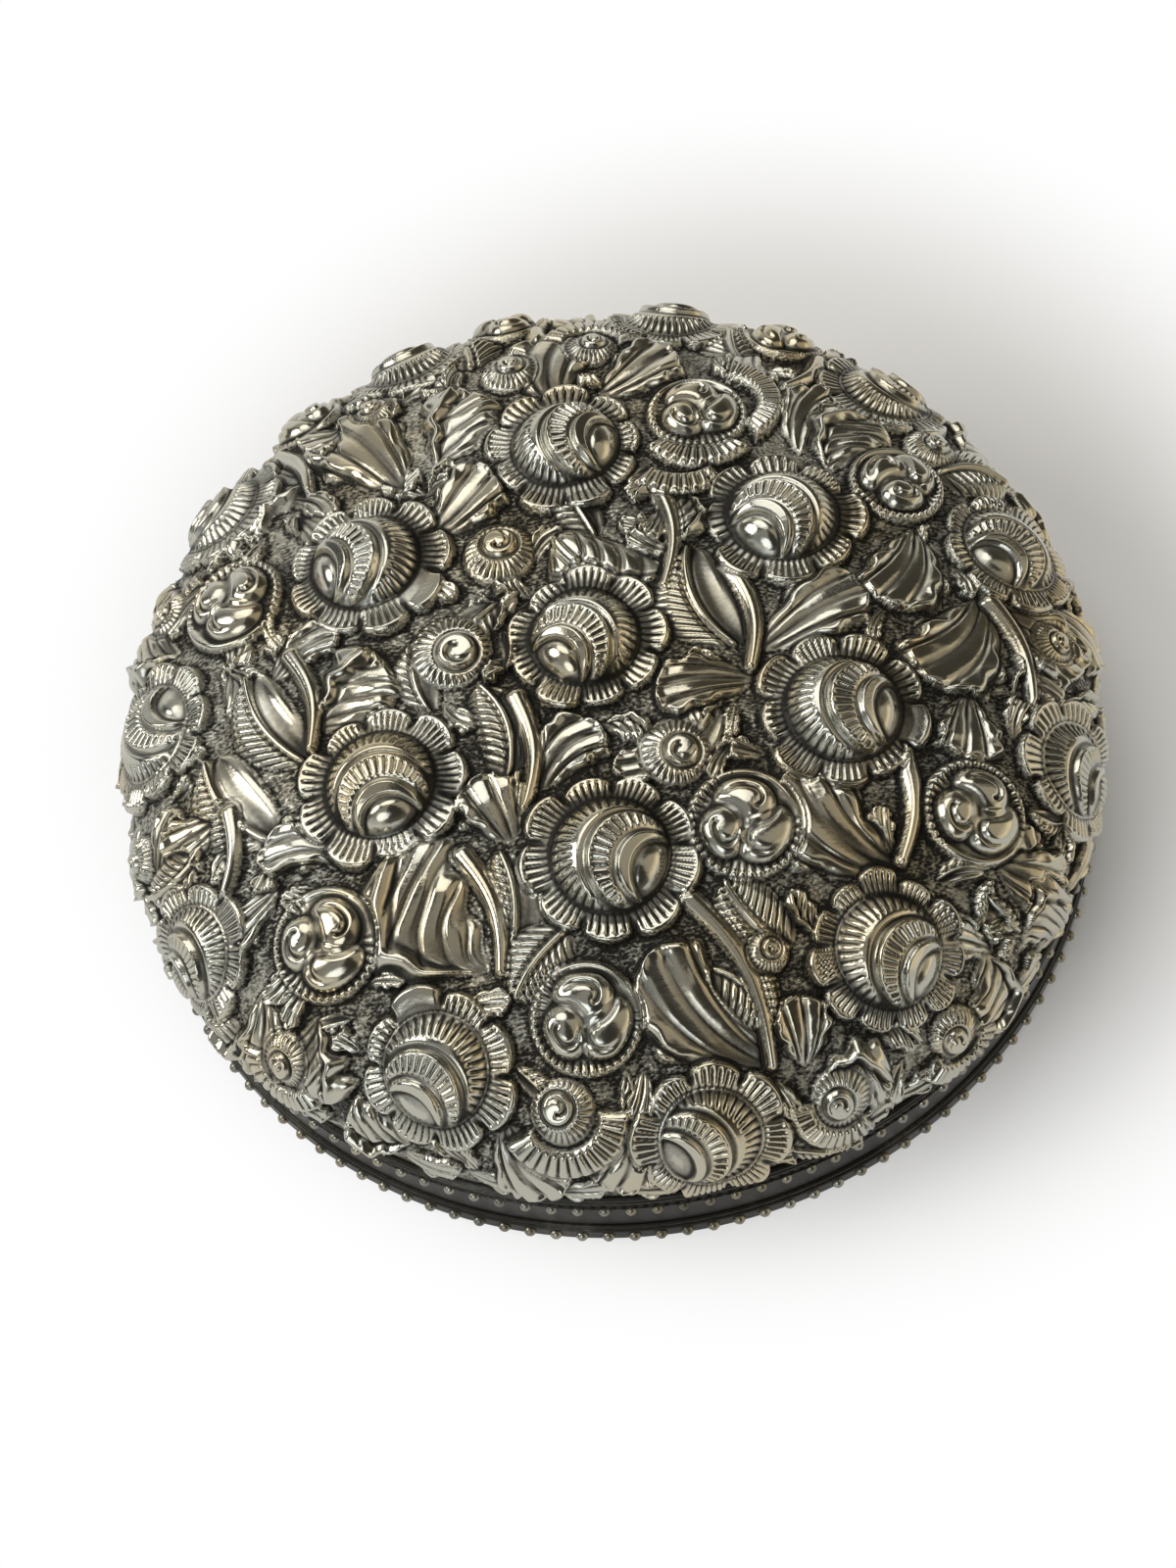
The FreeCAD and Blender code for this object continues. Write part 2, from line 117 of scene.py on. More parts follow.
# Leaves: cut, base right and away, tip right and away, width share, sideways bow share.
LEAF_SHARES = (
    ("plain", -0.235, -0.545, -0.36, -0.315, 0.16, 0.03),
    ("half", -0.205, -0.535, -0.188, -0.355, 0.075, 0.0),
    ("fluted", -0.165, -0.345, -0.212, -0.225, 0.1, 0.0),
    ("half", -0.16, -0.232, -0.186, -0.055, 0.078, 0.0),
    ("fluted", -0.11, -0.262, 0.0, -0.165, 0.088, 0.01),
    ("plain", -0.475, -0.07, -0.355, 0.055, 0.11, 0.0),
    ("half", -0.49, -0.12, -0.575, 0.07, 0.09, 0.0),
    ("fluted", -0.42, -0.33, -0.59, -0.27, 0.078, -0.02),
    ("half", -0.57, -0.24, -0.665, -0.06, 0.11, 0.0),
    ("fluted", -0.665, -0.175, -0.775, -0.215, 0.085, 0.0),
    ("fluted", 0.27, -0.118, 0.1, -0.132, 0.085, 0.01),
    ("plain", 0.2, 0.275, 0.188, 0.165, 0.062, 0.0),
    ("crescent", 0.142, 0.1, -0.028, 0.206, 0.112, 0.01),
    ("half", 0.248, -0.05, 0.194, 0.15, 0.1, 0.0),
    ("fluted", 0.282, -0.065, 0.475, 0.045, 0.095, 0.02),
    ("fluted", 0.445, -0.475, 0.282, -0.302, 0.125, 0.0),
    ("feather", 0.25, -0.585, 0.158, -0.462, 0.09, 0.0),
    ("fluted", 0.418, 0.34, 0.485, 0.49, 0.09, 0.0),
    ("plain", 0.462, 0.29, 0.562, 0.42, 0.098, 0.0),
    ("fluted", 0.59, 0.165, 0.508, -0.005, 0.11, 0.0),
    ("fluted", 0.68, 0.02, 0.545, -0.15, 0.125, 0.0),
    ("fluted", 0.7, -0.005, 0.875, -0.075, 0.12, 0.0),
    ("plain", -0.43, 0.475, -0.65, 0.43, 0.15, 0.0),
    ("fluted", -0.27, 0.38, -0.42, 0.59, 0.125, 0.0),
    ("plain", -0.21, 0.415, -0.16, 0.6, 0.105, 0.0),
    ("fluted", -0.245, 0.262, -0.122, 0.384, 0.095, 0.01),
    ("fluted", 0.012, 0.525, 0.03, 0.71, 0.125, 0.0),
    ("fluted", 0.09, 0.53, 0.225, 0.635, 0.1, 0.0),
    ("fluted", 0.195, -0.765, 0.02, -0.565, 0.128, 0.0),
    ("plain", -0.54, -0.545, -0.555, -0.69, 0.095, 0.0),
    ("plain", 0.58, -0.61, 0.62, -0.76, 0.095, 0.0),
    ("fluted", 0.62, -0.17, 0.605, -0.295, 0.09, 0.0),
    ("fluted", 0.25, -0.775, 0.235, -0.66, 0.082, 0.0),
    ("plain", 0.26, -0.81, 0.4, -0.81, 0.09, 0.0),
    ("feather", 0.12, -0.6, 0.2, -0.7, 0.07, 0.0),
    ("feather", -0.1, -0.5, -0.2, -0.6, 0.08, 0.0),
    ("fluted", -0.26, -0.78, -0.2, -0.93, 0.1, 0.0),
    ("fluted", -0.06, -0.8, -0.08, -0.94, 0.1, 0.0),
    ("plain", -0.45, -0.8, -0.56, -0.74, 0.09, 0.0),
    ("feather", 0.22, -0.92, 0.36, -0.92, 0.09, 0.0),
    ("fluted", 0.62, -0.47, 0.76, -0.5, 0.1, 0.0),
    ("plain", 0.68, -0.6, 0.78, -0.52, 0.09, 0.0),
    ("plain", 0.7, -0.18, 0.79, -0.13, 0.09, 0.0),
    ("fluted", 0.82, 0.02, 0.95, -0.05, 0.09, 0.0),
    ("fluted", 0.9, 0.16, 0.92, 0.3, 0.1, 0.0),
    ("feather", 0.66, 0.3, 0.8, 0.3, 0.1, 0.0),
    ("plain", 0.76, 0.4, 0.8, 0.52, 0.1, 0.0),
    ("fluted", 0.5, 0.56, 0.55, 0.66, 0.1, 0.0),
    ("feather", 0.35, 0.6, 0.36, 0.74, 0.1, 0.0),
    ("fluted", 0.42, 0.82, 0.52, 0.8, 0.1, 0.0),
    ("fluted", 0.1, 0.78, 0.06, 0.93, 0.1, 0.0),
    ("plain", 0.15, 0.9, 0.27, 0.93, 0.09, 0.0),
    ("feather", -0.13, 0.68, -0.16, 0.8, 0.1, 0.0),
    ("fluted", -0.16, 0.88, -0.28, 0.92, 0.1, 0.0),
    ("plain", -0.36, 0.82, -0.46, 0.82, 0.1, 0.0),
    ("fluted", -0.38, 0.6, -0.45, 0.56, 0.1, 0.0),
    ("fluted", -0.6, 0.64, -0.7, 0.62, 0.1, 0.0),
    ("feather", -0.76, 0.42, -0.84, 0.42, 0.1, 0.0),
    ("plain", -0.72, 0.2, -0.86, 0.26, 0.09, 0.0),
    ("fluted", -0.88, 0.16, -0.94, 0.04, 0.1, 0.0),
    ("fluted", -0.87, -0.08, -0.94, -0.2, 0.1, 0.0),
    ("feather", -0.72, -0.22, -0.84, -0.24, 0.08, 0.0),
    ("fluted", -0.85, -0.3, -0.92, -0.36, 0.08, 0.0),
    ("plain", -0.72, -0.52, -0.8, -0.5, 0.09, 0.0),
    ("fluted", -0.64, -0.48, -0.72, -0.62, 0.1, 0.0),
)
# Stems: from right and away, to right and away.
STEM_SHARES = (
    (-0.127, -0.09, -0.138, -0.29),
    (0.157, 0.3, 0.146, 0.08),
    (0.259, 0.1, 0.264, -0.095),
    (-0.496, 0.085, -0.476, -0.1),
    (0.482, -0.26, 0.452, -0.46),
    (0.09, -0.47, 0.192, -0.76),
    (-0.636, -0.17, -0.668, -0.31),
    (0.694, 0.005, 0.73, -0.19),
    (-0.25, -0.35, -0.215, -0.55),
    (0.5, 0.6, 0.42, 0.5),
    (-0.5, 0.58, -0.44, 0.44),
    (0.0, 0.72, 0.02, 0.84),
)
# Fans of ticks: right, away, turn, outer radius share, inner radius share, half spread in degrees, ticks.
FAN_SHARES = (
    (0.25, 0.415, 262, 0.105, 0.045, 62, 12),
    (0.215, 0.38, 262, 0.125, 0.075, 42, 9),
    (0.3, 0.47, 5, 0.11, 0.06, 70, 16),
    (-0.157, -0.785, 275, 0.115, 0.055, 80, 14),
    (0.31, -0.83, 250, 0.1, 0.05, 70, 12),
    (0.53, -0.745, 300, 0.1, 0.05, 70, 12),
    (-0.625, -0.6, 220, 0.1, 0.05, 75, 12),
    (0.09, 0.66, 80, 0.1, 0.05, 75, 12),
)
# Radians in a full turn, as the motifs count them.
FULL_TURN = 6.283
# Added to widths that may be nothing, so that shares of them hold.
HAIR = 1e-6
# Ticks in a full turn: a heart's ball and first shell, a scroll's rim, a bud's ring and the skirt's border.
BALL_TICKS, SHELL_TICKS, SCROLL_TICKS, BUD_TICKS, BORDER_TICKS = 36, 40, 38, 28, 300
# Millimetres round a motif that its lining groove may take: stems, round motifs and roses.
STEM_MARGIN, ROUND_MARGIN, ROSE_MARGIN = 4, 2, 3
# Leaves of the rim's border, leaves thrown at the gaps, and how many of those, thrown first, are long.
RIM_LEAVES, THROWN_LEAVES, LONG_LEAVES = 44, 1000, 350
# Seeds: the motifs, the ground's swell and grit, and the pad.
MOTIF_SEED, SWELL_SEED, GRIT_SEED, PAD_SEED = 11, 3, 5, 9
# The crown's panels each way, and how many of its cells one cell of the inside spans.
PANELS, INSIDE_STEP = 3, 4
# A point's depth below its surroundings: weight and half the window in cells, from near to far.
HOLLOW_WINDOWS = ((1.0, 2), (0.46, 6), (0.2, 18))
# Half the window in cells that gaps are filled by, and the shares of the arc over which the relief ends.
FILL_WINDOW, RELIEF_END = 9, (0.972, 1.0)
# Slopes over which steep sides darken further, shares of the arc over which the rim is darkened as painted
# shade, and the range of a hollow's depth with that shade added.
STEEP, PAINTED_RIM_SHADE, HOLLOW_AND_SHADE_RANGE = (1.0, 3.5), (0.86, 1.0), (-0.5, 0.75)
# Points down the crown's arc and up the skirt, points round the skirt and the velvet, cells over the pad.
ARC_POINTS, SKIRT_LEVELS, SKIRT_AROUND, VELVET_AROUND, PAD_CELLS = 4001, 48, 1440, 360, 96
# Faces of a turned piece that meet at more than this are shaded apart.
SHARP_ANGLE = math.radians(40)
# Metres: the skirt's run up behind the reed, the border's edges below the reed, and how deep a moulding sits
# in the wall.
SKIRT_LAP, BORDER_LOW, BORDER_HIGH, SEAT = 0.0011, 0.0029, 0.0003, 0.0002
# Metres: the foot rim's round edge, the gap from pad to velvet wall, the pad's ease, and the cloth's waves on
# the wall and on the pad.
BEVEL, WALL_GAP, PAD_EASE, NAP, PAD_WAVES = 0.0005, 0.0003, 0.0002, 0.00008, 0.00012


def millimetres(length):
    return 1000 * length


def ease(low, high, value):
    """Smooth step: 0 below low, 1 above high, a cubic between."""
    share = np.clip((value - low) / (high - low), 0, 1)
    return share * share * (3 - 2 * share)


def span(value, start, full, fade, end):
    """Smooth window: 0 outside start to end, 1 from full to fade."""
    return ease(start, full, value) * (1 - ease(fade, end, value))


def swell(share):
    """Half-round rise: the height of a circle of radius 1 at a share of its radius."""
    return np.sqrt(np.clip(1 - share * share, 0, 1))


def dome(share, power):
    """Rise of a dome at a share of its radius: the higher the power, the flatter its top."""
    return np.clip(1 - share**power, 0, 1) ** 0.5


def round_edge(inside, width):
    """Quarter-round rise from an outline over a width inside it."""
    return swell(1 - np.clip(inside / width, 0, 1))


def line(distance, width):
    """Bell-shaped trace of a chasing tool along the places where distance is 0."""
    return np.exp(-((distance / width) ** 2))


def ribs(phase, width=0.45):
    """Row of narrow cuts with flat lands between: 1 where phase is whole, close to 0 half way."""
    return np.exp(-((np.sin(math.pi * phase) / width) ** 2))


def in_axes(x, y, turn):
    """Coordinates of points in axes turned by an angle."""
    return x * math.cos(turn) + y * math.sin(turn), y * math.cos(turn) - x * math.sin(turn)


def waves(x, y, length, seed):
    """Uneven ground: a sum of sixteen plane waves of nearly one length in all directions."""
    draw = np.random.default_rng(seed)
    count = 16
    turns, stretches = draw.uniform(0, FULL_TURN, count), draw.uniform(0.7, 1.4, count)
    starts = draw.uniform(0, FULL_TURN, count)
    total = np.zeros_like(x)
    for turn, stretch, start in zip(turns, stretches, starts):
        total += np.cos(FULL_TURN * (x * math.cos(turn) + y * math.sin(turn)) / (length * stretch) + start)
    return total / math.sqrt(count / 2)


def heart(x, y, radius, rise, cut):
    """Rose heart: a full ball with two shells lapped over it towards +X, each with a raised lip and a groove.

    Ticks cut the outer part of the ball's crescent, longer ones fan over the first shell, and the second
    shell, the eye, opens under a lid into a crescent hollow.
    """
    reach = np.hypot(x, y)
    depth = radius - reach
    shell_out, shell_radius, eye_out, eye_radius = (share * radius for share in (0.5, 0.82, 0.82, 0.62))
    to_shell = np.hypot(x - shell_out, y) - shell_radius
    to_eye = np.hypot(x - eye_out, y) - eye_radius
    height = rise * dome(reach / radius, 2.6)
    lip, fall, groove_out, groove = (share * radius for share in (0.06, 0.2, 0.045, 0.055))
    for distance, lap in ((to_shell, 1.3), (to_eye, 1.2)):
        height += lap * cut * ease(0, lip, -distance) * np.exp(np.minimum(distance, 0) / fall)
        height -= cut * line(distance - groove_out, groove) * ease(0, 0.12 * radius, depth)
    crescent = depth + np.clip(to_shell, 0, None)
    outer = span(depth / (crescent + HAIR), 0.04, 0.1, 0.52, 0.66)
    outer *= ease(0.12 * radius, 0.22 * radius, crescent)
    ticks = ribs(np.arctan2(y, x - 0.1 * radius) * BALL_TICKS / FULL_TURN)
    height -= 1.4 * cut * outer * (to_shell > 0) * ticks
    lapped, band = np.clip(-to_shell, 0, None), np.clip(to_eye, 0, None)
    inner = span(lapped / (lapped + band + HAIR), 0.14, 0.24, 0.8, 0.95)
    inner *= ease(0.08 * radius, 0.16 * radius, band)
    ticks = ribs(np.arctan2(y, x - 0.8 * radius) * SHELL_TICKS / FULL_TURN)
    height -= cut * inner * (to_shell < 0) * ticks
    slit_out, slit_radius, slit_fall = (share * radius for share in (0.95, 0.5, 0.16))
    slit = np.hypot(x - slit_out, 0.9 * y) - slit_radius
    open_eye = ease(-0.03 * radius, 0.05 * radius, -slit) * ease(0.03 * radius, 0.1 * radius, -to_eye)
    height -= 2.6 * cut * open_eye * np.exp(np.minimum(slit, 0) / slit_fall)
    return height, depth


def petals(x, y, reach, rise, start, count, cut, draw):
    """Ring of petals: each a bulge of the outline, ticked, that rises outwards to a smooth rim."""
    radius = np.hypot(x, y)
    turn = np.arctan2(y, x) / FULL_TURN * count + draw.uniform(0, 1)
    number = np.floor(turn).astype(int) % count
    across = turn - np.floor(turn) - 0.5
    outline = reach * draw.uniform(0.9, 1.06, count)[number] * (0.81 + 0.19 * swell(1.94 * across))
    inside = outline - radius
    out = np.clip((radius - start) / (outline - start), 0, 1)
    height = rise * draw.uniform(0.85, 1.15, count)[number] * round_edge(inside, 0.13 * reach)
    height *= (0.78 + 0.22 * swell(1.9 * across)) * (0.75 + 0.25 * out)
    notch = (0.5 - np.abs(across)) * FULL_TURN * radius / count
    height -= 0.4 * rise * line(notch, 0.04 * reach) * ease(0.1, 0.7, out)
    ticks = draw.integers(6, 9, count)[number]
    ticked = draw.uniform(0, 1, count)[number] > 0.02
    run = span(out, 0.0, 0.08, 0.62, 0.8) * (1 - ease(0.34, 0.44, np.abs(across)))
    height += 0.16 * rise * line(out - 0.86, 0.1)
    height -= 1.2 * cut * ticked * run * ribs((across + 0.5) * ticks, 0.36)
    return height, inside


def curl(x, y, radius, rise, turn, cut):
    """Curled knob: a drop drawn out along +Y, with a slit that winds out from a small eye."""
    y = np.where(y > 0, 0.68, 1.0) * y
    reach = np.hypot(x, y)
    around = np.mod(np.arctan2(y, x) - turn, FULL_TURN) / FULL_TURN
    spiral = radius * (0.2 + 0.72 * around)
    height = rise * dome(reach / radius, 2.4)
    height -= 1.6 * cut * line(reach - spiral, 0.1 * radius) * span(around, 0.02, 0.15, 0.5, 0.75)
    return height, radius - reach


def scroll(x, y, radius, rise, knob_turn, cut):
    """Scroll flower: a dish with a rolled rim, ticked towards +X, and three curled knobs that lap in it."""
    reach, around = np.hypot(x, y), np.arctan2(y, x)
    inside, share = radius - reach, reach / radius
    height = rise * (0.5 * round_edge(inside, 0.16 * radius) + 0.12 * line(share - 0.9, 0.09))
    ticked = span(share, 0.66, 0.72, 0.9, 0.96) * (1 - ease(2.0, 2.3, np.abs(around)))
    height -= 1.5 * cut * ticked * ribs(around * SCROLL_TICKS / FULL_TURN)
    knobs, knob_step = ((0.33, 0.47), (0.36, 0.43), (0.4, 0.38)), 2.1
    for number, (out, size) in enumerate(knobs):
        turn = knob_turn + number * knob_step
        across, along = in_axes(x - out * radius * math.cos(turn), y - out * radius * math.sin(turn), turn)
        knob, depth = curl(across, along, size * radius, 0.7 * rise, 2.2 + 1.3 * number, cut)
        under = height - 1.2 * cut * line(depth, 0.07 * radius)
        height = np.where(depth > 0, np.maximum(under, 0.32 * rise + knob), under)
    return height, inside


def bud(x, y, radius, rise, cut):
    """Bud: a flat button with a plain rim, a ticked ring away from +X and a coiled eye set towards +X."""
    depth = radius - np.hypot(x, y)
    eye_out, eye_radius, coil_start, coil_growth = (share * radius for share in (0.22, 0.46, 0.12, 0.3))
    eye = np.hypot(x - eye_out, y)
    to_eye = eye - eye_radius
    share = depth / (depth + np.clip(to_eye, 0, None) + HAIR)
    height = rise * dome(np.hypot(x, y) / radius, 3.2)
    ticked = span(share, 0.16, 0.26, 0.74, 0.86) * ease(0.1 * radius, 0.24 * radius, to_eye)
    height -= 1.1 * cut * ticked * ribs(np.arctan2(y, x - 0.1 * radius) * BUD_TICKS / FULL_TURN)
    height += 0.9 * cut * ease(0, 0.08 * radius, -to_eye) - cut * line(to_eye - 0.04 * radius, 0.07 * radius)
    around = np.mod(np.arctan2(y, x - eye_out) - 2.0, FULL_TURN) / FULL_TURN
    coil = coil_start + coil_growth * around
    height -= 1.4 * cut * line(eye - coil, 0.06 * radius) * (to_eye < 0) * (1 - ease(0.55, 0.8, around))
    return height, depth


def fan(x, y, outer, inner, spread, ticks, rise, cut):
    """Fan of ticks: a band of a ring between two radii, centred on +X, cut radially."""
    reach, around = np.hypot(x, y), np.arctan2(y, x)
    inside = np.minimum(np.minimum(outer - reach, reach - inner), (spread - np.abs(around)) * reach)
    out = (reach - inner) / (outer - inner)
    height = rise * round_edge(inside, 0.25 * (outer - inner))
    height -= cut * span(out, 0.1, 0.25, 0.82, 0.95) * ribs(around / (2 * spread) * ticks)
    return height, inside


def leaf(x, y, length, width, bow, cut_kind, rise, cut):
    """Leaf along +X from its base: round-edged, its width a product of powers of the way along it.

    fluted: thin grooves that spread from the base, with a raised roll at the end of each land; plain: a sail
    with a heavy spine near one edge and long grooves that leave it forwards; feather: slanted cuts on both
    sides of a midrib; half: slanted cuts on one side only; crescent: arcs nested round the tip.
    """
    along = np.clip(x / length, 0, 1)
    side = y - 4 * bow * along * (1 - along)
    lobed = cut_kind in ("fluted", "plain")
    level, opening, closing = (2.14, 0.85, 0.38) if lobed else (1.99, 0.52, 0.48)
    half = 0.5 * width * (level * along**opening * (1 - along) ** closing)
    lobe, lobes, lobe_start = 0.1, 3.5, 0.8
    half *= 1 + lobe * np.cos(FULL_TURN * lobes * along + lobe_start) * lobed
    beyond = np.maximum(-x, x - length)
    inside = np.where(beyond < 0, half - np.abs(side), -np.abs(side) - beyond)
    across = side / np.maximum(half, 1e-3)
    height = rise * round_edge(inside, 0.26 * width) * (0.5 + 0.5 * ease(0, 0.7, along))
    height *= 1 - 0.34 * line(across, 0.4) * (1 - along) if lobed else 0.7 + 0.3 * swell(across)
    fade = span(along, 0.02, 0.2, 0.9, 0.99)
    within = ease(0, 0.16 * width, inside)
    if cut_kind == "fluted":
        phase = 1.9 * side / (0.5 * width * (0.2 + along**0.8)) + 0.5 * along * along
        lands = 1 - ribs(phase)
        height += cut * fade * (0.8 * lands + 0.5 * swell(2 * (phase - np.floor(phase)) - 1) - 1.5)
        height += 0.22 * rise * lands * line(inside - 0.12 * width, 0.08 * width) * ease(0.3, 0.6, along)
    elif cut_kind == "plain":
        spine = across - 0.62 + 0.5 * ease(0.5, 1.0, along)
        off = np.clip(-spine, 0, None)
        phase = 4.6 * (along - 0.4 * off**0.85)
        grooves = 1.1 * ribs(phase) + 0.3 * (1 - (phase - np.floor(phase)))
        height -= cut * within * ease(0.02, 0.2, off) * grooves * ease(0.06, 0.2, along)
        height += 0.3 * rise * line(spine, 0.16) * fade - 1.2 * cut * line(spine + 0.26, 0.07) * fade
    elif cut_kind == "crescent":
        arcs = np.hypot(x - length, 1.3 * side) / (0.17 * length)
        height -= 1.2 * cut * ribs(arcs) * ease(1.6, 2.0, arcs) * within
    else:
        spacing, lean = 1.25, 0.55
        slant = along * length / spacing - np.abs(side) * lean
        cut_side = 1.0 if cut_kind == "feather" else ease(-0.02, 0.06, across)
        height -= 0.4 * rise * line(across + 0.42, 0.3) * (cut_kind == "half")
        height -= 1.3 * cut * fade * cut_side * ribs(slant) * ease(0.1, 0.25, np.abs(across))
    if not lobed:
        height += 0.7 * cut * line(side, 0.05 * width)
        height -= 0.9 * cut * line(np.abs(side) - 0.07 * width, 0.03 * width)
    return height, inside


def stem(x, y, length, radius, rise):
    """Stem along +X: a half-round rod with a bow and round ends, thinner towards its far end."""
    along = np.clip(x, 0, length)
    side = np.hypot(x - along, y - 0.11 * length * np.sin(math.pi * along / length))
    radius = radius * (1.15 - 0.5 * along / length)
    return rise * swell(side / radius), radius - side


class Relief:
    """Heights in millimetres over points of the crown's flat plan, laid motif over motif."""

    def __init__(self, right, away, arc, lining, drift):
        self.right, self.away = arc * right.ravel(), arc * away.ravel()
        self.arc, self.lining, self.drift = arc, lining, drift
        swell_length, grit_length = 4.2, 1.3
        self.height = 0.2 * waves(self.right, self.away, swell_length, SWELL_SEED)
        self.height += 0.1 * np.abs(waves(self.right, self.away, grit_length, GRIT_SEED))
        self.bare = np.ones_like(self.height)

    def near(self, right, away, reach, turn, fixed=False):
        """Points within reach of a place given in shares, in the axes of a motif turned there.

        The layout drifts off the lid's middle as a whole, apart from what is fixed to the rim.
        """
        drift = (0, 0) if fixed else self.drift
        x, y = self.right - right * self.arc - drift[0], self.away - away * self.arc - drift[1]
        ids = np.flatnonzero(x * x + y * y < reach * reach)
        return ids, *in_axes(x[ids], y[ids], turn)

    def lay(self, ids, motif, under=False):
        """Cover what lies inside a motif's outline, or only its bare ground, and cut a groove along it."""
        height, inside = motif
        below, bare = self.height[ids], self.bare[ids] if under else 1
        blend, groove = 0.7, 0.35
        cover = ease(0, blend, inside) * bare
        over = height * cover + (below if under else np.maximum(below, height)) * (1 - cover)
        self.height[ids] = np.where(inside > 0, over, below - self.lining * line(inside, groove) * bare)
        self.bare[ids] *= 1 - cover


def crown_heights(right, away, sizes):
    """Relief of the whole crown, and where its ground is bare.

    Leaves lie lowest, then stems, fans, scrolls and buds, with the roses over them. The rim's border and the
    thrown leaves come last, under all of these.
    """
    draw = np.random.default_rng(MOTIF_SEED)
    arc = crown_arc(sizes)[0][-1]
    drift = millimetres(sizes.drift_right), millimetres(sizes.drift_away)
    relief = Relief(right, away, arc, millimetres(sizes.lining_depth), drift)
    cut, leaf_rise = millimetres(sizes.cut_depth), millimetres(sizes.leaf_rise)
    for cut_kind, x0, y0, x1, y1, width, bow in LEAF_SHARES:
        length, width = arc * math.hypot(x1 - x0, y1 - y0), arc * width
        ids, x, y = relief.near(x0, y0, length + width, math.atan2(y1 - y0, x1 - x0))
        bend = arc * bow + length * draw.uniform(0.06, 0.16) * draw.choice((-1, 1))
        relief.lay(ids, leaf(x, y, length, width * sizes.leaf_spread, bend, cut_kind, leaf_rise, cut))
    for x0, y0, x1, y1 in STEM_SHARES:
        length = arc * math.hypot(x1 - x0, y1 - y0)
        ids, x, y = relief.near(x0, y0, length + STEM_MARGIN, math.atan2(y1 - y0, x1 - x0))
        relief.lay(ids, stem(x, y, length, millimetres(sizes.stem_radius), millimetres(sizes.stem_rise)))
    for x0, y0, turn, outer, inner, spread, ticks in FAN_SHARES:
        ids, x, y = relief.near(x0, y0, arc * outer + ROUND_MARGIN, math.radians(turn))
        spread = math.radians(spread)
        relief.lay(ids, fan(x, y, arc * outer, arc * inner, spread, ticks, leaf_rise, 1.2 * cut))
    for x0, y0, radius, turn, knob_turn in SCROLL_SHARES:
        ids, x, y = relief.near(x0, y0, arc * radius + ROUND_MARGIN, math.radians(turn))
        knob_turn = math.radians(knob_turn)
        relief.lay(ids, scroll(x, y, arc * radius, millimetres(sizes.scroll_rise), knob_turn, cut))
    for x0, y0, radius, turn in BUD_SHARES:
        ids, x, y = relief.near(x0, y0, arc * radius + ROUND_MARGIN, math.radians(turn))
        relief.lay(ids, bud(x, y, arc * radius, millimetres(sizes.bud_rise), cut))
    for x0, y0, size, turn, count in ROSE_SHARES:
        reach = size * millimetres(sizes.rose_reach)
        inner = sizes.heart_share * reach
        heart_rise = (1 - 0.55 * ease(0.6, 0.9, math.hypot(x0, y0))) * millimetres(sizes.heart_rise)
        ids, x, y = relief.near(x0, y0, reach + ROSE_MARGIN, math.radians(turn))
        relief.lay(ids, petals(x, y, reach, millimetres(sizes.petal_rise), inner, count, 1.15 * cut, draw))
        relief.lay(ids, heart(x, y, inner, heart_rise, 1.15 * cut))
    rim_leaves(relief, 0.7 * leaf_rise, 0.7 * cut)
    throw_leaves(relief, 0.8 * leaf_rise, 0.8 * cut, draw)
    return relief.height.reshape(right.shape), relief.bare.reshape(right.shape)


def rim_leaves(relief, rise, cut):
    """Running border at the crown's foot: slender leaves along the rim, each with a ball at its base."""
    length, share, ball_radius = 0.14 * relief.arc, 0.945, 1.7
    for turn in np.linspace(0, 2 * math.pi, RIM_LEAVES, endpoint=False):
        place = share * math.cos(turn), share * math.sin(turn)
        ids, x, y = relief.near(*place, 1.2 * length, turn + 1.75, fixed=True)
        relief.lay(ids, leaf(x, y, length, 0.44 * length, -0.1 * length, "fluted", rise, cut), under=True)
        ball = np.hypot(x + 0.1 * length, y - 0.12 * length)
        relief.lay(ids, (1.3 * rise * swell(ball / ball_radius), ball_radius - ball), under=True)


def throw_leaves(relief, rise, cut, draw):
    """Small leaves thrown at the crown where its ground is still bare, each under all that lies there."""
    kinds, reach, least_bare = ("fluted", "half", "plain", "fluted"), 0.93, 0.4
    for number in range(THROWN_LEAVES):
        share = reach * math.sqrt(draw.uniform())
        around, turn = draw.uniform(0, FULL_TURN), draw.uniform(0, FULL_TURN)
        length = draw.uniform(11.0, 15.0) if number < LONG_LEAVES else draw.uniform(6.0, 9.0)
        width = draw.uniform(0.5, 0.65) * length
        place = share * math.cos(around), share * math.sin(around)
        ids, x, y = relief.near(*place, 0.75 * length, turn, fixed=True)
        if np.mean(relief.bare[ids]) > least_bare:
            bow, kind = draw.uniform(-0.15, 0.15) * length, kinds[number % len(kinds)]
            relief.lay(ids, leaf(x + 0.5 * length, y, length, width, bow, kind, rise, cut), under=True)


def crown_arc(sizes):
    """Arc length, radius and height down the crown's outer face, a superellipse, in millimetres."""
    turn = np.linspace(math.pi / 2, 0, ARC_POINTS)
    power = 2 / sizes.crown_fullness
    radius = millimetres(SKIRT[1].x) * np.clip(np.cos(turn), 0, 1) ** power
    foot, rise = millimetres(SKIRT[1].z + sizes.crown_foot), millimetres(sizes.crown_rise)
    height = foot + rise * np.sin(turn) ** power
    length = np.concatenate([[0], np.cumsum(np.hypot(np.diff(radius), np.diff(height)))])
    return length, radius, height


def disc_grid(cells):
    """Square grid drawn into the unit disc, each square ring onto a circle: cells keep nearly one area."""
    axis = np.linspace(-1, 1, cells + 1)
    a, b = np.meshgrid(axis, axis, indexing="ij")
    wide = np.abs(a) >= np.abs(b)
    longer = np.where(wide, a, b)
    turn = math.pi / 4 * np.where(wide, b, a) / np.where(longer == 0, 1, longer)
    near, far = longer * np.cos(turn), longer * np.sin(turn)
    return np.where(wide, near, far), np.where(wide, far, near)


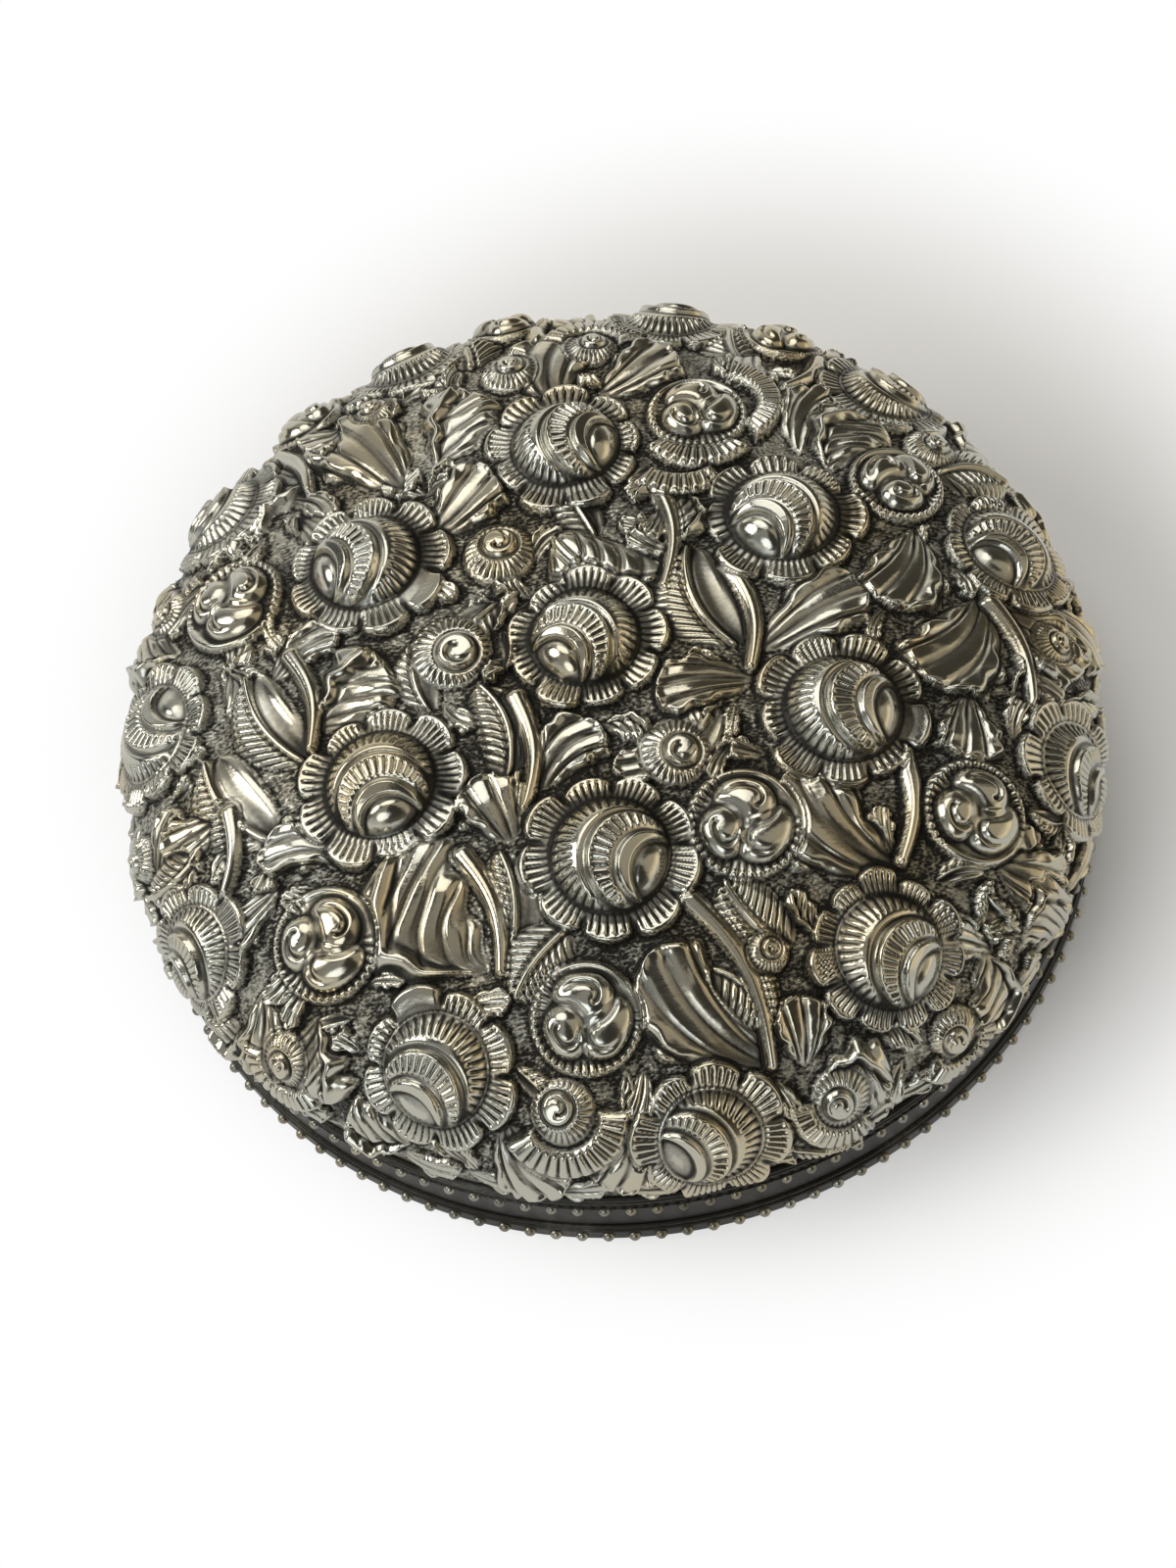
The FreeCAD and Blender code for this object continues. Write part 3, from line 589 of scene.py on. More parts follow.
def soften(grid, cells):
    """Mean over a square window, taken three times each way, which is close to a bell-shaped blur."""
    window = 2 * cells + 1
    for axis in (0, 1) * 3:
        wide = np.pad(grid, [(cells + 1, cells) if side == axis else (0, 0) for side in (0, 1)], mode="edge")
        total = np.cumsum(wide, axis=axis)
        size = grid.shape[axis]
        first, last = (np.take(total, range(start, start + size), axis) for start in (0, window))
        grid = (last - first) / window
    return grid


def below_all(grid, step):
    """Every step-th point of a grid, each lowered to the least value in the four blocks of cells round it."""
    blocks = (grid.shape[0] - 1) // step
    least = grid[:-1, :-1].reshape(blocks, step, blocks, step).min((1, 3))
    wide = np.pad(least, 1, mode="edge")
    wide = np.minimum(wide[:-1], wide[1:])
    return np.minimum(wide[:, :-1], wide[:, 1:])


def on_crown(right, away, heights, sizes):
    """Points of the crown in metres: a superellipse's point at a share of its arc, raised on its normal."""
    length, radius, level = crown_arc(sizes)
    share = np.clip(np.hypot(right, away), 0, 1)
    at = share * length[-1]
    slope_out, slope_down = np.gradient(radius, length), np.gradient(level, length)
    ring = np.interp(at, length, radius) - np.interp(at, length, slope_down) * heights
    rise = np.interp(at, length, level) + np.interp(at, length, slope_out) * heights
    across = np.where(share == 0, 1, share)
    return np.stack([ring * right / across, ring * away / across, rise], -1) / 1000


def new_piece(name, mesh, finish):
    """Object for a mesh, smooth and in its finish, linked to the scene."""
    mesh.shade_smooth()
    mesh.materials.append(finish)
    piece = bpy.data.objects.new(name, mesh)
    bpy.context.scene.collection.objects.link(piece)
    return piece


def faced(name, points, faces, finish):
    """Piece of points and a list of faces."""
    mesh = bpy.data.meshes.new(name)
    mesh.from_pydata(points.reshape(-1, 3).tolist(), [], faces)
    return new_piece(name, mesh, finish)


def surface(name, points, finish, wrap=False, flip=False):
    """Mesh of quads over a grid of points, closed both ways round where it wraps, with a map of the grid."""
    rows, columns = points.shape[:2]
    last_row, last_column = (rows, columns) if wrap else (rows - 1, columns - 1)
    i, j = np.meshgrid(np.arange(last_row), np.arange(last_column), indexing="ij")
    corners = ((i, j), (i + 1, j), (i + 1, j + 1), (i, j + 1))
    if flip:
        corners = corners[::-1]
    loops = np.stack([(a % rows) * columns + b % columns for a, b in corners], -1).reshape(-1)
    edge = 0.004
    chart = np.stack([np.stack([a / last_row, b / last_column], -1) for a, b in corners], 2)
    mesh = bpy.data.meshes.new(name)
    mesh.vertices.add(rows * columns)
    mesh.vertices.foreach_set("co", points.astype(np.float32).ravel())
    mesh.loops.add(len(loops))
    mesh.loops.foreach_set("vertex_index", loops.astype(np.int32))
    mesh.polygons.add(len(loops) // 4)
    mesh.polygons.foreach_set("loop_start", np.arange(0, len(loops), 4, dtype=np.int32))
    mesh.update(calc_edges=True)
    chart = (edge + (1 - 2 * edge) * chart).astype(np.float32)
    mesh.uv_layers.new(name="OFBake").data.foreach_set("uv", chart.ravel())
    if mesh.validate():
        raise RuntimeError(f"{name} has faces that don't hold together")
    return new_piece(name, mesh, finish)


def point_values(piece, name, values):
    """Store one number at each point of a piece, for its material to read."""
    stored = piece.data.attributes.new(name, "FLOAT", "POINT")
    stored.data.foreach_set("value", values.astype(np.float32).ravel())


def set_piece(piece, body, slot, *nodes):
    """Carry a piece on a body and hide the nodes that it stands for; the slot is not used."""
    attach(piece, body)
    if nodes:
        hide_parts(*nodes)


def turned(name, profile, finish, around=480, lift=None):
    """Closed ring: a closed profile of (radius, height) carried round the axis and moved out by lift."""
    profile = np.concatenate([np.asarray(part) for part in profile])
    angle = np.linspace(0, 2 * math.pi, around, endpoint=False)[None, :]
    radius = profile[:, :1] + 0 * angle
    if lift:
        radius = radius + lift(angle, profile)
    points = np.stack([radius * np.cos(angle), radius * np.sin(angle), profile[:, 1:] + 0 * angle], -1)
    piece = surface(name, points, finish, wrap=True, flip=True)
    piece.data.set_sharp_from_angle(angle=SHARP_ANGLE)
    return piece


def arc_profile(centre, radius, start, end, count):
    """Points of an elliptic arc of (radius, height) between two turns in degrees."""
    turn = np.radians(np.linspace(start, end, count))
    return np.stack([centre[0] + radius[0] * np.cos(turn), centre[1] + radius[1] * np.sin(turn)], -1)


def upright(radius, start, end, count):
    """Points of (radius, height) up or down a wall."""
    return np.stack([np.full(count, radius), np.linspace(start, end, count)], -1)


class Socket:
    """An output of a shader node; arithmetic on it adds Math nodes to the same tree."""

    def __init__(self, tree, output):
        self.tree, self.output = tree, output

    def maths(self, operation, first, second=0.0):
        return add_node(self.tree, "ShaderNodeMath", {"operation": operation}, {0: first, 1: second})

    def __add__(self, other):
        return self.maths("ADD", self, other)

    def __mul__(self, other):
        return self.maths("MULTIPLY", self, other)

    def __sub__(self, other):
        return self.maths("SUBTRACT", self, other)

    def __rsub__(self, other):
        return self.maths("SUBTRACT", other, self)

    __radd__ = __add__


def feed(tree, node, sockets):
    """Give a node's inputs values, or links from other nodes."""
    for name, value in sockets.items():
        if isinstance(value, Socket):
            tree.links.new(value.output, node.inputs[name])
        else:
            node.inputs[name].default_value = value


def add_node(tree, kind, settings, sockets, output=0):
    """New node of a kind, its settings made first, then its inputs fed; returns one output."""
    node = tree.nodes.new(kind)
    for name, value in settings.items():
        setattr(node, name, value)
    feed(tree, node, sockets)
    return Socket(tree, node.outputs[output])


def new_finish(name):
    """New material; returns it with its tree and surface node."""
    material = bpy.data.materials.new(name)
    material.use_nodes = True
    tree = material.node_tree
    return material, tree, tree.nodes["Principled BSDF"]


def opaque(colour):
    return tuple(colour) + (1,)


def attribute(tree, name):
    """Number that a piece stores at its points."""
    return add_node(tree, "ShaderNodeAttribute", {"attribute_name": name}, {}, "Fac")


def grain(tree, scale, detail=3.0, stretch=(1, 1, 1)):
    """Noise over the object's own coordinates, in cells per metre."""
    place = add_node(tree, "ShaderNodeTexCoord", {}, {}, "Object")
    place = add_node(tree, "ShaderNodeMapping", {}, {"Vector": place, "Scale": stretch})
    sockets = {"Vector": place, "Scale": scale, "Detail": detail}
    return add_node(tree, "ShaderNodeTexNoise", {}, sockets, "Fac")


def ramp(tree, value, low, high):
    """Smooth step of a value between two levels."""
    return add_node(tree, "ShaderNodeMapRange", {"interpolation_type": "SMOOTHSTEP"},
                    {"Value": value, "From Min": low, "From Max": high})


def bump(tree, strength, distance, height, **below):
    """Normal that follows a height, over another one where it is given."""
    sockets = {"Strength": strength, "Distance": distance, "Height": height, **below}
    return add_node(tree, "ShaderNodeBump", {}, sockets)


def blend_colours(tree, factor, first, second, blend_type="MIX"):
    """Mix of two colours, or of sockets that carry colours."""
    settings = {"data_type": "RGBA", "blend_type": blend_type}
    return add_node(tree, "ShaderNodeMix", settings, {0: factor, 6: first, 7: second}, 2)


def silver_finish(name, colours, hollow, wear):
    """Tarnished silver: bright where polished, brown-black in hollows and painted shade, finely scratched
    gloss.

    Its third argument makes a socket that gives 1 in the deepest hollows and where shade is painted, and 0 on
    the heights. Where a piece stores bare ground, that is matted by a punch: rough, with small pale flakes.
    """
    material, tree, shader = new_finish(name)
    depth, bare = hollow(tree), attribute(tree, "bare")
    flake = ramp(tree, grain(tree, 1500.0, 3.0, (1.0, 1.8, 1.0)), 0.36, 0.64)
    cloud = grain(tree, 45.0, 4.0)
    speck = grain(tree, 1500.0, 2.0)
    scratch = grain(tree, 260.0, 3.0, (1.0, 7.0, 2.0))
    # The patina colour also paints shade here, where the level carries it: at the crown's rim and on side
    # walls.
    shade_and_patina_level = depth + (cloud - 0.5) * wear + (speck - 0.5) * 0.16 - bare * (flake * 0.3 + 0.04)
    tarnish = ramp(tree, shade_and_patina_level, 0.2, 0.8)
    warm = ramp(tree, grain(tree, 48.0, 3.0), 0.42, 0.66) * 0.9
    bright = blend_colours(tree, warm, opaque(colours.silver), opaque(colours.warm_silver))
    scratched = bump(tree, 0.05, 0.0004, speck + scratch)
    feed(tree, shader, {
        "Base Color": blend_colours(tree, tarnish, bright, opaque(colours.patina)),
        "Roughness": 0.1 + scratch * 0.12 + tarnish * 0.25 + bare * 0.16,
        "Metallic": 1 - tarnish * 0.25,
        "Normal": bump(tree, 0.5, 0.0004, flake * bare, Normal=scratched),
    })
    return material


def stored_hollow_and_rim_shade(tree):
    """How deep a point lies in the relief, with painted shade added at the rim, as the crown's mesh stores
    it.
    """
    return attribute(tree, "hollow")


def plain_tarnish_and_shade(tree):
    """Even tarnish with soft patches, for pieces without relief, set dark to paint shade on their side walls.
    """
    return 0.62 + grain(tree, 120.0, 4.0) * 0.3


def worn_hollow(tree):
    """Light tarnish in patches, for beads that hands keep bright."""
    return 0.3 + grain(tree, 160.0, 3.0) * 0.4


def velvet_finish(name, colours):
    """Velvet: dark red pile with a soft sheen, its lay brushed in slow patches."""
    material, tree, shader = new_finish(name)
    pile = grain(tree, 5200.0, 2.0)
    lay = ramp(tree, grain(tree, 55.0, 3.0), 0.35, 0.65)
    deep, light = opaque(colours.velvet), opaque(colours.velvet_lay)
    feed(tree, shader, {
        "Base Color": blend_colours(tree, lay * 0.6 + pile * 0.4, deep, light),
        "Roughness": 0.92,
        "Sheen Weight": 0.6,
        "Sheen Roughness": 0.4,
        "Sheen Tint": light,
        "Normal": bump(tree, 0.35, 0.0003, pile),
    })
    return material


def number_property(name, description, default, **kind):
    return bpy.props.FloatProperty(name=name, description=description, default=default, **kind)


def length_property(name, description, default):
    return number_property(name, description, default, unit="LENGTH")


def share_property(name, description, default):
    return number_property(name, description, default, subtype="FACTOR")


def angle_property(name, description, degrees):
    return number_property(name, description, math.radians(degrees), unit="ROTATION")


def count_property(name, description, default):
    return bpy.props.IntProperty(name=name, description=description, default=default)


def colour_property(name, description, default):
    return bpy.props.FloatVectorProperty(name=name, description=description, default=default, subtype="COLOR",
                                         min=0, max=1)


class CrownSizes(bpy.types.PropertyGroup):
    """Sizes of the raised crown and its motifs."""

    crown_foot: length_property("Foot", "Straight foot below the crown's spring", 0.0012)
    crown_rise: length_property("Rise", "Height of the crown's ground above its spring", 0.0295)
    crown_fullness: number_property("Fullness", "Power of the crown's superellipse", 2.45)
    rose_reach: length_property("Rose reach", "Radius of a rose out to its petals", 0.0122)
    heart_share: share_property("Heart share", "Heart radius over rose reach", 0.645)
    heart_rise: length_property("Heart rise", "Height of a rose's heart", 0.0066)
    petal_rise: length_property("Petal rise", "Height of a rose's petals", 0.0025)
    scroll_rise: length_property("Scroll rise", "Height of a scroll flower", 0.004)
    bud_rise: length_property("Bud rise", "Height of a bud", 0.0027)
    leaf_rise: length_property("Leaf rise", "Height of a leaf", 0.0028)
    stem_rise: length_property("Stem rise", "Height of a stem", 0.0026)
    stem_radius: length_property("Stem radius", "Half the width of a stem", 0.0017)
    cut_depth: length_property("Cut depth", "Depth of a chased tick", 0.0005)
    lining_depth: length_property("Lining depth", "Depth of the groove round a motif", 0.00045)
    drift_right: length_property("Drift right", "How far the layout lies right of the middle", -0.0013)
    drift_away: length_property("Drift away", "How far the layout lies behind the middle", 0.0008)
    leaf_spread: number_property("Leaf spread", "Leaf width over its tabled width", 1.4)
    ground_fill: share_property("Ground fill", "How far gaps are raised to their surroundings", 0.68)
    panel_cells: count_property("Panel cells", "Cells along a side of a crown panel", 280)
    sheet: length_property("Sheet", "Thickness of the silver", 0.0008)


class BandSizes(bpy.types.PropertyGroup):
    """Sizes of the beads and the skirt's border."""

    bead_count: count_property("Beads", "Beads in a row", 120)
    bead_radius: length_property("Bead radius", "Half the width of a bead", 0.00095)
    bead_projection: length_property("Bead projection", "How far a bead stands out", 0.0009)
    chased_depth: length_property("Chased depth", "Depth of the skirt's chased border", 0.0003)


class Colours(bpy.types.PropertyGroup):
    """Colours of the finishes."""

    silver: colour_property("Silver", "Polished silver", (0.52, 0.508, 0.44))
    warm_silver: colour_property("Warm silver", "Silver with a yellow tarnish", (0.56, 0.492, 0.35))
    # Also the colour of the painted shade at the crown's rim and on the plain side walls.
    patina: colour_property("Patina", "Tarnish in the hollows", (0.02, 0.0185, 0.0145))
    velvet: colour_property("Velvet", "Pile seen end on", (0.075, 0.006, 0.012))
    velvet_lay: colour_property("Velvet lay", "Pile brushed over", (0.2, 0.02, 0.03))
    floor: colour_property("Floor", "Studio floor", (0.93, 0.93, 0.93))


class StageSettings(bpy.types.PropertyGroup):
    """The camera's place and view."""

    eye_distance: length_property("Eye distance", "From the box to the camera", 0.4865)
    eye_lift: angle_property("Eye lift", "How steeply the camera looks down", 61.25)
    eye_roll: angle_property("Eye roll", "How far the camera is turned about its view", -9.0)
    lens: number_property("Lens", "Focal length for a frame 24 mm high", 48.7)
    pivot_height: length_property("Pivot height", "Height of the point looked at", 0.01)
    aim_right: length_property("Aim right", "Where the pivot shows, right of the middle", 0.00396)
    aim_up: length_property("Aim up", "Where the pivot shows, above the middle", 0.0031)


class RaiseCrown(bpy.types.Operator):
    """Raise the lid's flower relief as one sheet in nine panels, backed by the bare inside of the lid."""

    bl_idname = "keepsake.raise_crown"
    bl_label = "Raise crown"

    def execute(self, context):
        sizes, colours = context.scene.crown_sizes, context.scene.box_colours
        cells = sizes.panel_cells
        right, away = disc_grid(PANELS * cells)
        reach = np.hypot(right, away)
        heights, bare = crown_heights(right, away, sizes)
        heights += sizes.ground_fill * np.clip(soften(heights, FILL_WINDOW) - heights, 0, None)
        heights *= 1 - ease(*RELIEF_END, reach)
        hollow = self.hollows(heights, reach, 2 * crown_arc(sizes)[0][-1] / (PANELS * cells))
        points = on_crown(right, away, heights, sizes)
        finish = silver_finish("relief_silver", colours, stored_hollow_and_rim_shade, 0.5)
        for row in range(PANELS):
            for column in range(PANELS):
                part = tuple(slice(start * cells, (start + 1) * cells + 1) for start in (row, column))
                panel = surface(f"crown_panel_{row + 1}{column + 1}", points[part], finish)
                # The stored level carries patina in the hollows and painted shade at the crown's rim.
                point_values(panel, "hollow", ease(*HOLLOW_AND_SHADE_RANGE, hollow[part]))
                point_values(panel, "bare", bare[part])
                set_piece(panel, "lid", "relief_silver", *(["lid_crown"] if row == column == 0 else []))
        finish = silver_finish("inside_silver", colours, plain_tarnish_and_shade, 0.6)
        coarse = (slice(None, None, INSIDE_STEP),) * 2
        low = below_all(heights, INSIDE_STEP) - millimetres(sizes.sheet)
        back = surface("crown_inside", on_crown(right[coarse], away[coarse], low, sizes), finish, flip=True)
        set_piece(back, "lid", "relief_silver")
        return {"FINISHED"}

    def hollows(self, heights, reach, spacing):
        """How far points lie below their surroundings, near and far, more on steep sides, with painted shade
        at the rim.
        """
        hollow = sum(weight * (soften(heights, cells) - heights) for weight, cells in HOLLOW_WINDOWS)
        hollow += 0.1 * ease(*STEEP, np.hypot(*np.gradient(heights, spacing)))
        # Painted shade: the crown's outer rim is pushed towards the patina colour.
        return hollow + 0.14 * ease(*PAINTED_RIM_SHADE, reach)


class TurnLidBands(bpy.types.Operator):
    """Turn the lid's skirt with its chased border, the double reed under the crown and the edge wire."""

    bl_idname = "keepsake.turn_lid_bands"
    bl_label = "Turn lid bands"

    def execute(self, context):
        # The skirt and reeds take tarnish that is darkened further as painted shade on the side wall.
        finish = silver_finish("band_silver", context.scene.box_colours, plain_tarnish_and_shade, 0.3)
        chased_depth = context.scene.band_sizes.chased_depth
        outer, low, high = SKIRT[1].x, SKIRT[0].z, SKIRT[1].z + SKIRT_LAP
        inner = outer - context.scene.crown_sizes.sheet
        wall = [[[outer, low]], upright(outer, EDGE_WIRE[1].z, RIDGE[0].z, SKIRT_LEVELS), [[outer, high]]]
        border_low, border_high = RIDGE[0].z - BORDER_LOW, RIDGE[0].z - BORDER_HIGH

        def border(angle, points):
            """Running border: slanted ticks that lean one way above a middle line and the other below it."""
            outside = points[:, :1] > inner + 1e-5
            share = (points[:, 1:] - border_low) / (border_high - border_low)
            ticks = ribs(angle * BORDER_TICKS / FULL_TURN - 1.6 * np.abs(share - 0.5))
            rails = line(share - 0.04, 0.05) + line(share - 0.96, 0.05)
            return chased_depth * outside * (0.9 * rails - span(share, 0.02, 0.12, 0.88, 0.98) * ticks)

        skirt = turned("lid_skirt_band", wall + [[[inner, high], [inner, low]]], finish, SKIRT_AROUND, border)
        set_piece(skirt, "lid", "band_silver", "lid_skirt")
        reed, depth = 0.5 * (RIDGE[1].z - RIDGE[0].z), RIDGE[1].x - outer
        reeds = [arc_profile((outer, RIDGE[0].z + reed * (0.5 + number)), (depth, 0.5 * reed), -90, 90, 13)
                 for number in (0, 1)]
        back = [[outer - SEAT, RIDGE[1].z], [outer - SEAT, RIDGE[0].z]]
        ridge = turned("lid_double_reed", [reeds[0], reeds[1][1:], back], finish)
        set_piece(ridge, "lid", "band_silver", "lid_ridge_moulding")
        middle, half = 0.5 * (EDGE_WIRE[0].z + EDGE_WIRE[1].z), 0.5 * (EDGE_WIRE[1].z - EDGE_WIRE[0].z)
        front = arc_profile((outer, middle), (EDGE_WIRE[1].x - outer, half), -90, 90, 15)
        back = [[outer - SEAT, middle + half], [outer - SEAT, middle - half]]
        set_piece(turned("lid_edge_bead", [front, back], finish), "lid", "band_silver", "lid_edge_wire")
        return {"FINISHED"}


class SetBeads(bpy.types.Operator):
    """Set the two rows of small domed beads."""

    bl_idname = "keepsake.set_beads"
    bl_label = "Set beads"

    def execute(self, context):
        bands = context.scene.band_sizes
        finish = silver_finish("bead_silver", context.scene.box_colours, worn_hollow, 0.3)
        for name, node, body, wall in (("lid_beads", "lid_bead_row", "lid", SKIRT[1].x),
                                       ("base_beads", "base_bead_row", "base", RIM[1].x)):
            low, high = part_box(node)
            middle = 0.5 * (low.z + high.z)
            set_piece(self.row(name, wall, middle, bands, finish), body, "bead_silver", node)
        return {"FINISHED"}

    def row(self, name, wall, middle, bands, finish):
        """Domes round the wall: parts of ellipsoids, eight sides in four bands, closed by two flat caps."""
        lift = np.radians([-25, 5, 35, 62, 80])[None, :, None]
        side = np.linspace(0, 2 * math.pi, 8, endpoint=False)[None, None, :]
        turn = np.linspace(0, 2 * math.pi, bands.bead_count, endpoint=False)[:, None, None]
        out = wall + bands.bead_projection * np.sin(lift) + 0 * side + 0 * turn
        along = bands.bead_radius * np.cos(lift) * np.cos(side) + 0 * turn
        rise = middle + bands.bead_radius * np.cos(lift) * np.sin(side) + 0 * turn
        across = out * np.cos(turn) - along * np.sin(turn), out * np.sin(turn) + along * np.cos(turn)
        index = np.arange(out.size).reshape(out.shape)
        after = np.roll(index, -1, 2)
        quads = np.stack([index[:, :-1], after[:, :-1], after[:, 1:], index[:, 1:]], -1).reshape(-1, 4)
        caps = np.concatenate([index[:, -1], index[:, 0, ::-1]])
        return faced(name, np.stack([*across, rise], -1), quads.tolist() + caps.tolist(), finish)


class TurnBase(bpy.types.Operator):
    """Turn the base rim and the collar that the lid slips over, and finish the floor plate."""

    bl_idname = "keepsake.turn_base"
    bl_label = "Turn base"

    def execute(self, context):
        # The base rim, collar and plate take the same tarnish, darkened as painted shade.
        finish = silver_finish("base_silver", context.scene.box_colours, plain_tarnish_and_shade, 0.3)
        outer, inner, high = RIM[1].x, COLLAR[1].x, RIM[1].z
        rim = [[[inner, 0.0], [outer - BEVEL, 0.0]],
               arc_profile((outer - BEVEL, BEVEL), (BEVEL, BEVEL), -80, 0, 6),
               upright(outer, 2 * BEVEL, high - 2 * BEVEL, 10),
               arc_profile((outer - BEVEL, high - BEVEL), (BEVEL, BEVEL), 0, 90, 7),
               [[inner, high]]]
        set_piece(turned("base_foot_rim", rim, finish), "base", "band_silver", "base_rim")
        low, high = COLLAR[0].z, COLLAR[1].z
        sheet = context.scene.crown_sizes.sheet
        lip = 0.5 * sheet
        collar = [[[inner, low]],
                  upright(inner, low + lip, high - lip, 8),
                  arc_profile((inner - lip, high - lip), (lip, lip), 15, 165, 9),
                  [[inner - sheet, high - 2 * lip], [inner - sheet, low]]]
        set_piece(turned("base_slip_collar", collar, finish), "base", "plain_silver", "base_collar")
        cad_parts["base_plate"].data.materials.clear()
        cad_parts["base_plate"].data.materials.append(finish)
        return {"FINISHED"}


class LayVelvet(bpy.types.Operator):
    """Lay the velvet wall strip and the crowned floor pad."""

    bl_idname = "keepsake.lay_velvet"
    bl_label = "Lay velvet"

    def execute(self, context):
        finish = velvet_finish("velvet", context.scene.box_colours)
        outer, inner = LINING[1].x, PAD[1].x + WALL_GAP
        low, high = LINING[0].z, LINING[1].z
        fold = 0.5 * (outer - inner)
        strip = [upright(outer, low, high - fold, 8),
                 arc_profile((outer - fold, high - fold), (fold, fold), 10, 170, 9),
                 upright(inner, high - fold, low, 8)]

        def nap(angle, points):
            """Slight unevenness of cloth pulled round the wall."""
            return NAP * np.sin(23 * angle + 300 * points[:, 1:]) * np.sin(7 * angle)

        lining = turned("velvet_wall", strip, finish, VELVET_AROUND, nap)
        set_piece(lining, "base", "velvet", "wall_lining")
        right, away = disc_grid(PAD_CELLS)
        reach = np.hypot(right, away)
        radius, thick = PAD[1].x - PAD_EASE, PAD[1].z - PAD[0].z
        edge_rise, edge_width, crown_rise, foot_share = 0.72 * thick, 0.07, 0.26 * thick, 0.97
        plan, wave_length = 68, 18.0
        crown = PAD[0].z + edge_rise * round_edge(1 - reach, edge_width) + crown_rise * (1 - reach**2)
        crown += PAD_WAVES * waves(right * plan, away * plan, wave_length, PAD_SEED) * ease(1.0, 0.8, reach)
        top = np.stack([right * radius, away * radius, crown], -1)
        bottom = np.stack([right * radius * foot_share, away * radius * foot_share, 0 * right + PAD[0].z], -1)
        pad = self.closed_pad("velvet_pad", top, bottom, finish)
        set_piece(pad, "base", "velvet", "floor_pad")
        return {"FINISHED"}

    def closed_pad(self, name, top, bottom, finish):
        """Pad: a crowned sheet over a flat one, the two joined along the sides of their grids."""
        size = top.shape[0]
        under = size * size
        index = np.arange(under).reshape(size, size)
        loop = np.concatenate([index[0, :-1], index[:-1, -1], index[-1, :0:-1], index[:0:-1, 0]])
        after = np.roll(loop, -1)
        face = np.stack([index[:-1, :-1], index[1:, :-1], index[1:, 1:], index[:-1, 1:]], -1).reshape(-1, 4)
        side = np.stack([loop, after, after + under, loop + under], -1)
        quads = np.concatenate([face, face[:, ::-1] + under, side])
        return faced(name, np.stack([top, bottom]), quads.tolist(), finish)


